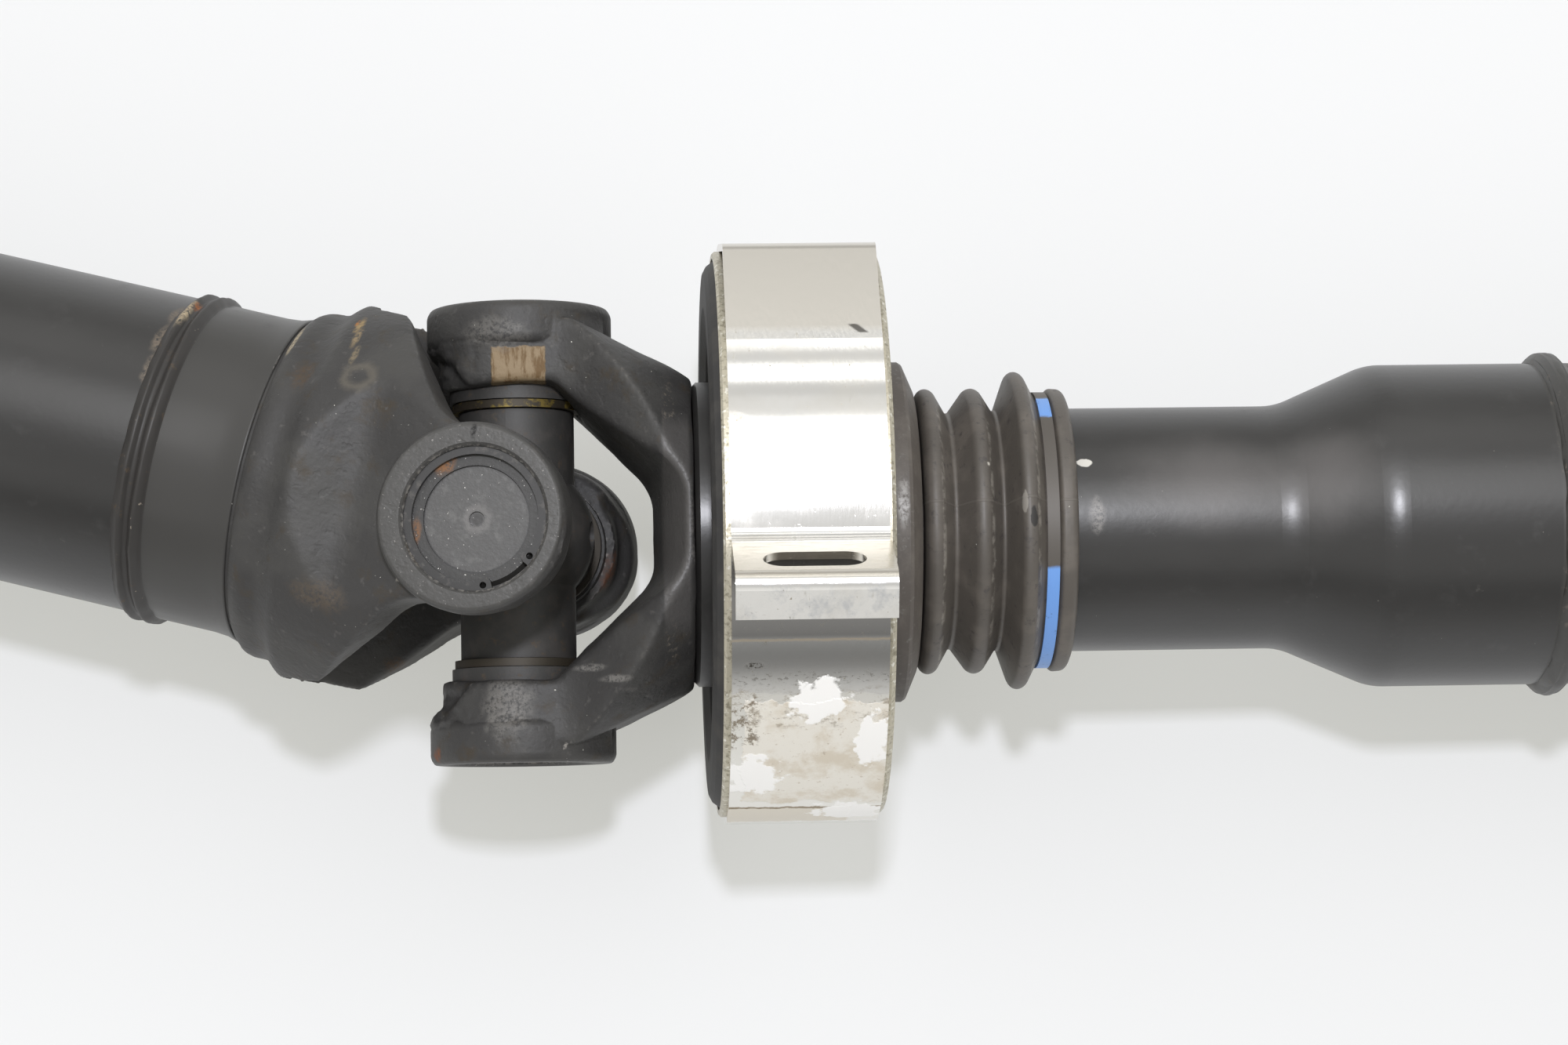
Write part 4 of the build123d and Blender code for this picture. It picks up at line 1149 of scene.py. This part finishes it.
class DRIVESHAFT_OT_rear_forging(bpy.types.Operator):
    """Forges the rear fork with its sleeve and the curled weld flash"""

    bl_idname = "driveshaft.rear_forging"
    bl_label = "Rear fork"

    def execute(self, context):
        fork = forged(
            "rear_yoke",
            REAR,
            cut_x=52.9,
            values=context.scene.driveshaft_forging,
            shift=Vector((2.9, 8.4, 0.7)),
            boss=(19.7, 0.9),
            lip_waves=((9.0, 0.5),),
        )
        profile = [
            (50.0, 0),
            (50.0, TUBE_R + 0.5),
            (53.5, TUBE_R + 0.5),
            (53.7, TUBE_R + 1.1, 0.4),
            (56.5, TUBE_R + 0.3),
            (60.0, TUBE_R),
            (66.0, TUBE_R),
            *weld_ridges(REAR_WELD_X, TUBE_R + 0.5),
            (79.4, 34.7),
            (77.3, 34.7),
            (77.3, 32.5),
            (61.0, 32.5),
            (57.0, 30.0),
            (57.0, 0),
        ]

        def at_curls(spot):
            """Whether a point is on the weld flash."""
            return 72.4 < spot.x < 79.6 and outside_tube(spot)

        sleeve = turned_piece(profile, TUBE_STEPS)
        roughened(sleeve, ((9, 0.35), (3, 0.16)), Vector((3, 5, 1)), at_curls)
        whole = combined(fork, sleeve, "UNION")
        piece = new_piece(
            "rear_fork_forging", whole, REAR, "rear_shaft", "rear_forging", FORGED_DEG
        )
        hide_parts("rear_yoke")
        return {"FINISHED"}


class DRIVESHAFT_OT_front_flash(bpy.types.Operator):
    """Curls the flash of the front friction weld round its ring"""

    bl_idname = "driveshaft.front_flash"
    bl_label = "Front weld flash"

    def execute(self, context):
        inside = [(FRONT_WELD_X + 3.4, TUBE_R - 0.4), (FRONT_WELD_X - 3.5, TUBE_R - 0.4)]
        curl = turned_piece(weld_ridges(FRONT_WELD_X, low_r=37.3) + inside, TUBE_STEPS)
        roughened(curl, ((9, 0.4), (3, 0.2)), Vector((8, 2, 6)), outside_tube)
        piece = new_piece(
            "front_weld_flash", curl, FRONT, "front_shaft", "front_paint", smooth_deg=40.0
        )
        return {"FINISHED"}


# Boot


class BootSettings(bpy.types.PropertyGroup):
    """How finely the boot is turned"""

    steps: bpy.props.IntProperty(name="Steps", description="Faces round the boot", default=144)


# Half width and rounding of a fold's crest and root, and the folds as (x, radius, kind)
CREST = (1.2, 1.15)
ROOT = (0.4, 0.35)
FOLDS = (
    (88.2, 30.9, CREST),
    (92.8, 25.6, ROOT),
    (98.2, 30.9, CREST),
    (102.9, 26.0, ROOT),
    (107.5, 34.4, CREST),
)


class DRIVESHAFT_OT_boot(bpy.types.Operator):
    """Moulds the bellows boot with its bead and clamp groove"""

    bl_idname = "driveshaft.boot"
    bl_label = "Bellows boot"

    def execute(self, context):
        profile = [(85.9, 24.0), (85.9, 28.6, 0.8)]
        for x, radius, (half, rounding) in FOLDS:
            profile += [(x - half, radius, rounding), (x + half, radius, rounding)]
        profile += [
            (111.3, 29.25, 0.5),
            (114.2, 29.25, 0.3),
            (114.8, 30.7, 0.6),
            (117.6, 30.5, 0.9),
            (118.2, 29.0),
            (118.4, 26.4),
            (111.0, 26.4),
            (107.6, 31.5),
            (103.0, 24.6),
            (98.3, 28.3),
            (92.6, 24.2),
            (88.2, 28.4),
            (88.2, 24.0),
        ]
        bellows = turned_piece(profile, context.scene.driveshaft_boot.steps)
        boot = new_piece("bellows_boot", bellows, FRONT, None, "bellows", smooth_deg=50.0)
        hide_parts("boot")
        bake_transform(boot)
        return {"FINISHED"}


class DRIVESHAFT_PT_panel(bpy.types.Panel):
    """Sidebar panel with one button for each group of pieces"""

    bl_idname = "DRIVESHAFT_PT_panel"
    bl_label = "Driveshaft"
    bl_space_type = "VIEW_3D"
    bl_region_type = "UI"
    bl_category = "Driveshaft"

    def draw(self, context):
        for operator in STEPS:
            self.layout.operator(operator.bl_idname)


STEPS = (
    DRIVESHAFT_OT_stage,
    DRIVESHAFT_OT_finishes,
    DRIVESHAFT_OT_stub_forging,
    DRIVESHAFT_OT_rear_forging,
    DRIVESHAFT_OT_front_flash,
    DRIVESHAFT_OT_boot,
)
SETTINGS = (
    ("driveshaft_stage", StageSettings),
    ("driveshaft_forging", ForgingSettings),
    ("driveshaft_boot", BootSettings),
)


def register():
    for name, settings in SETTINGS:
        bpy.utils.register_class(settings)
        setattr(bpy.types.Scene, name, bpy.props.PointerProperty(type=settings))
    for operator in STEPS:
        bpy.utils.register_class(operator)
    bpy.utils.register_class(DRIVESHAFT_PT_panel)


def unregister():
    bpy.utils.unregister_class(DRIVESHAFT_PT_panel)
    for operator in reversed(STEPS):
        bpy.utils.unregister_class(operator)
    for name, settings in reversed(SETTINGS):
        delattr(bpy.types.Scene, name)
        bpy.utils.unregister_class(settings)


def main():
    """Registers the add-on and runs every step."""
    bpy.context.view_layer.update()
    register()
    for operator in STEPS:
        group, name = operator.bl_idname.split(".")
        getattr(getattr(bpy.ops, group), name)()


if __name__ == "__main__":
    main()
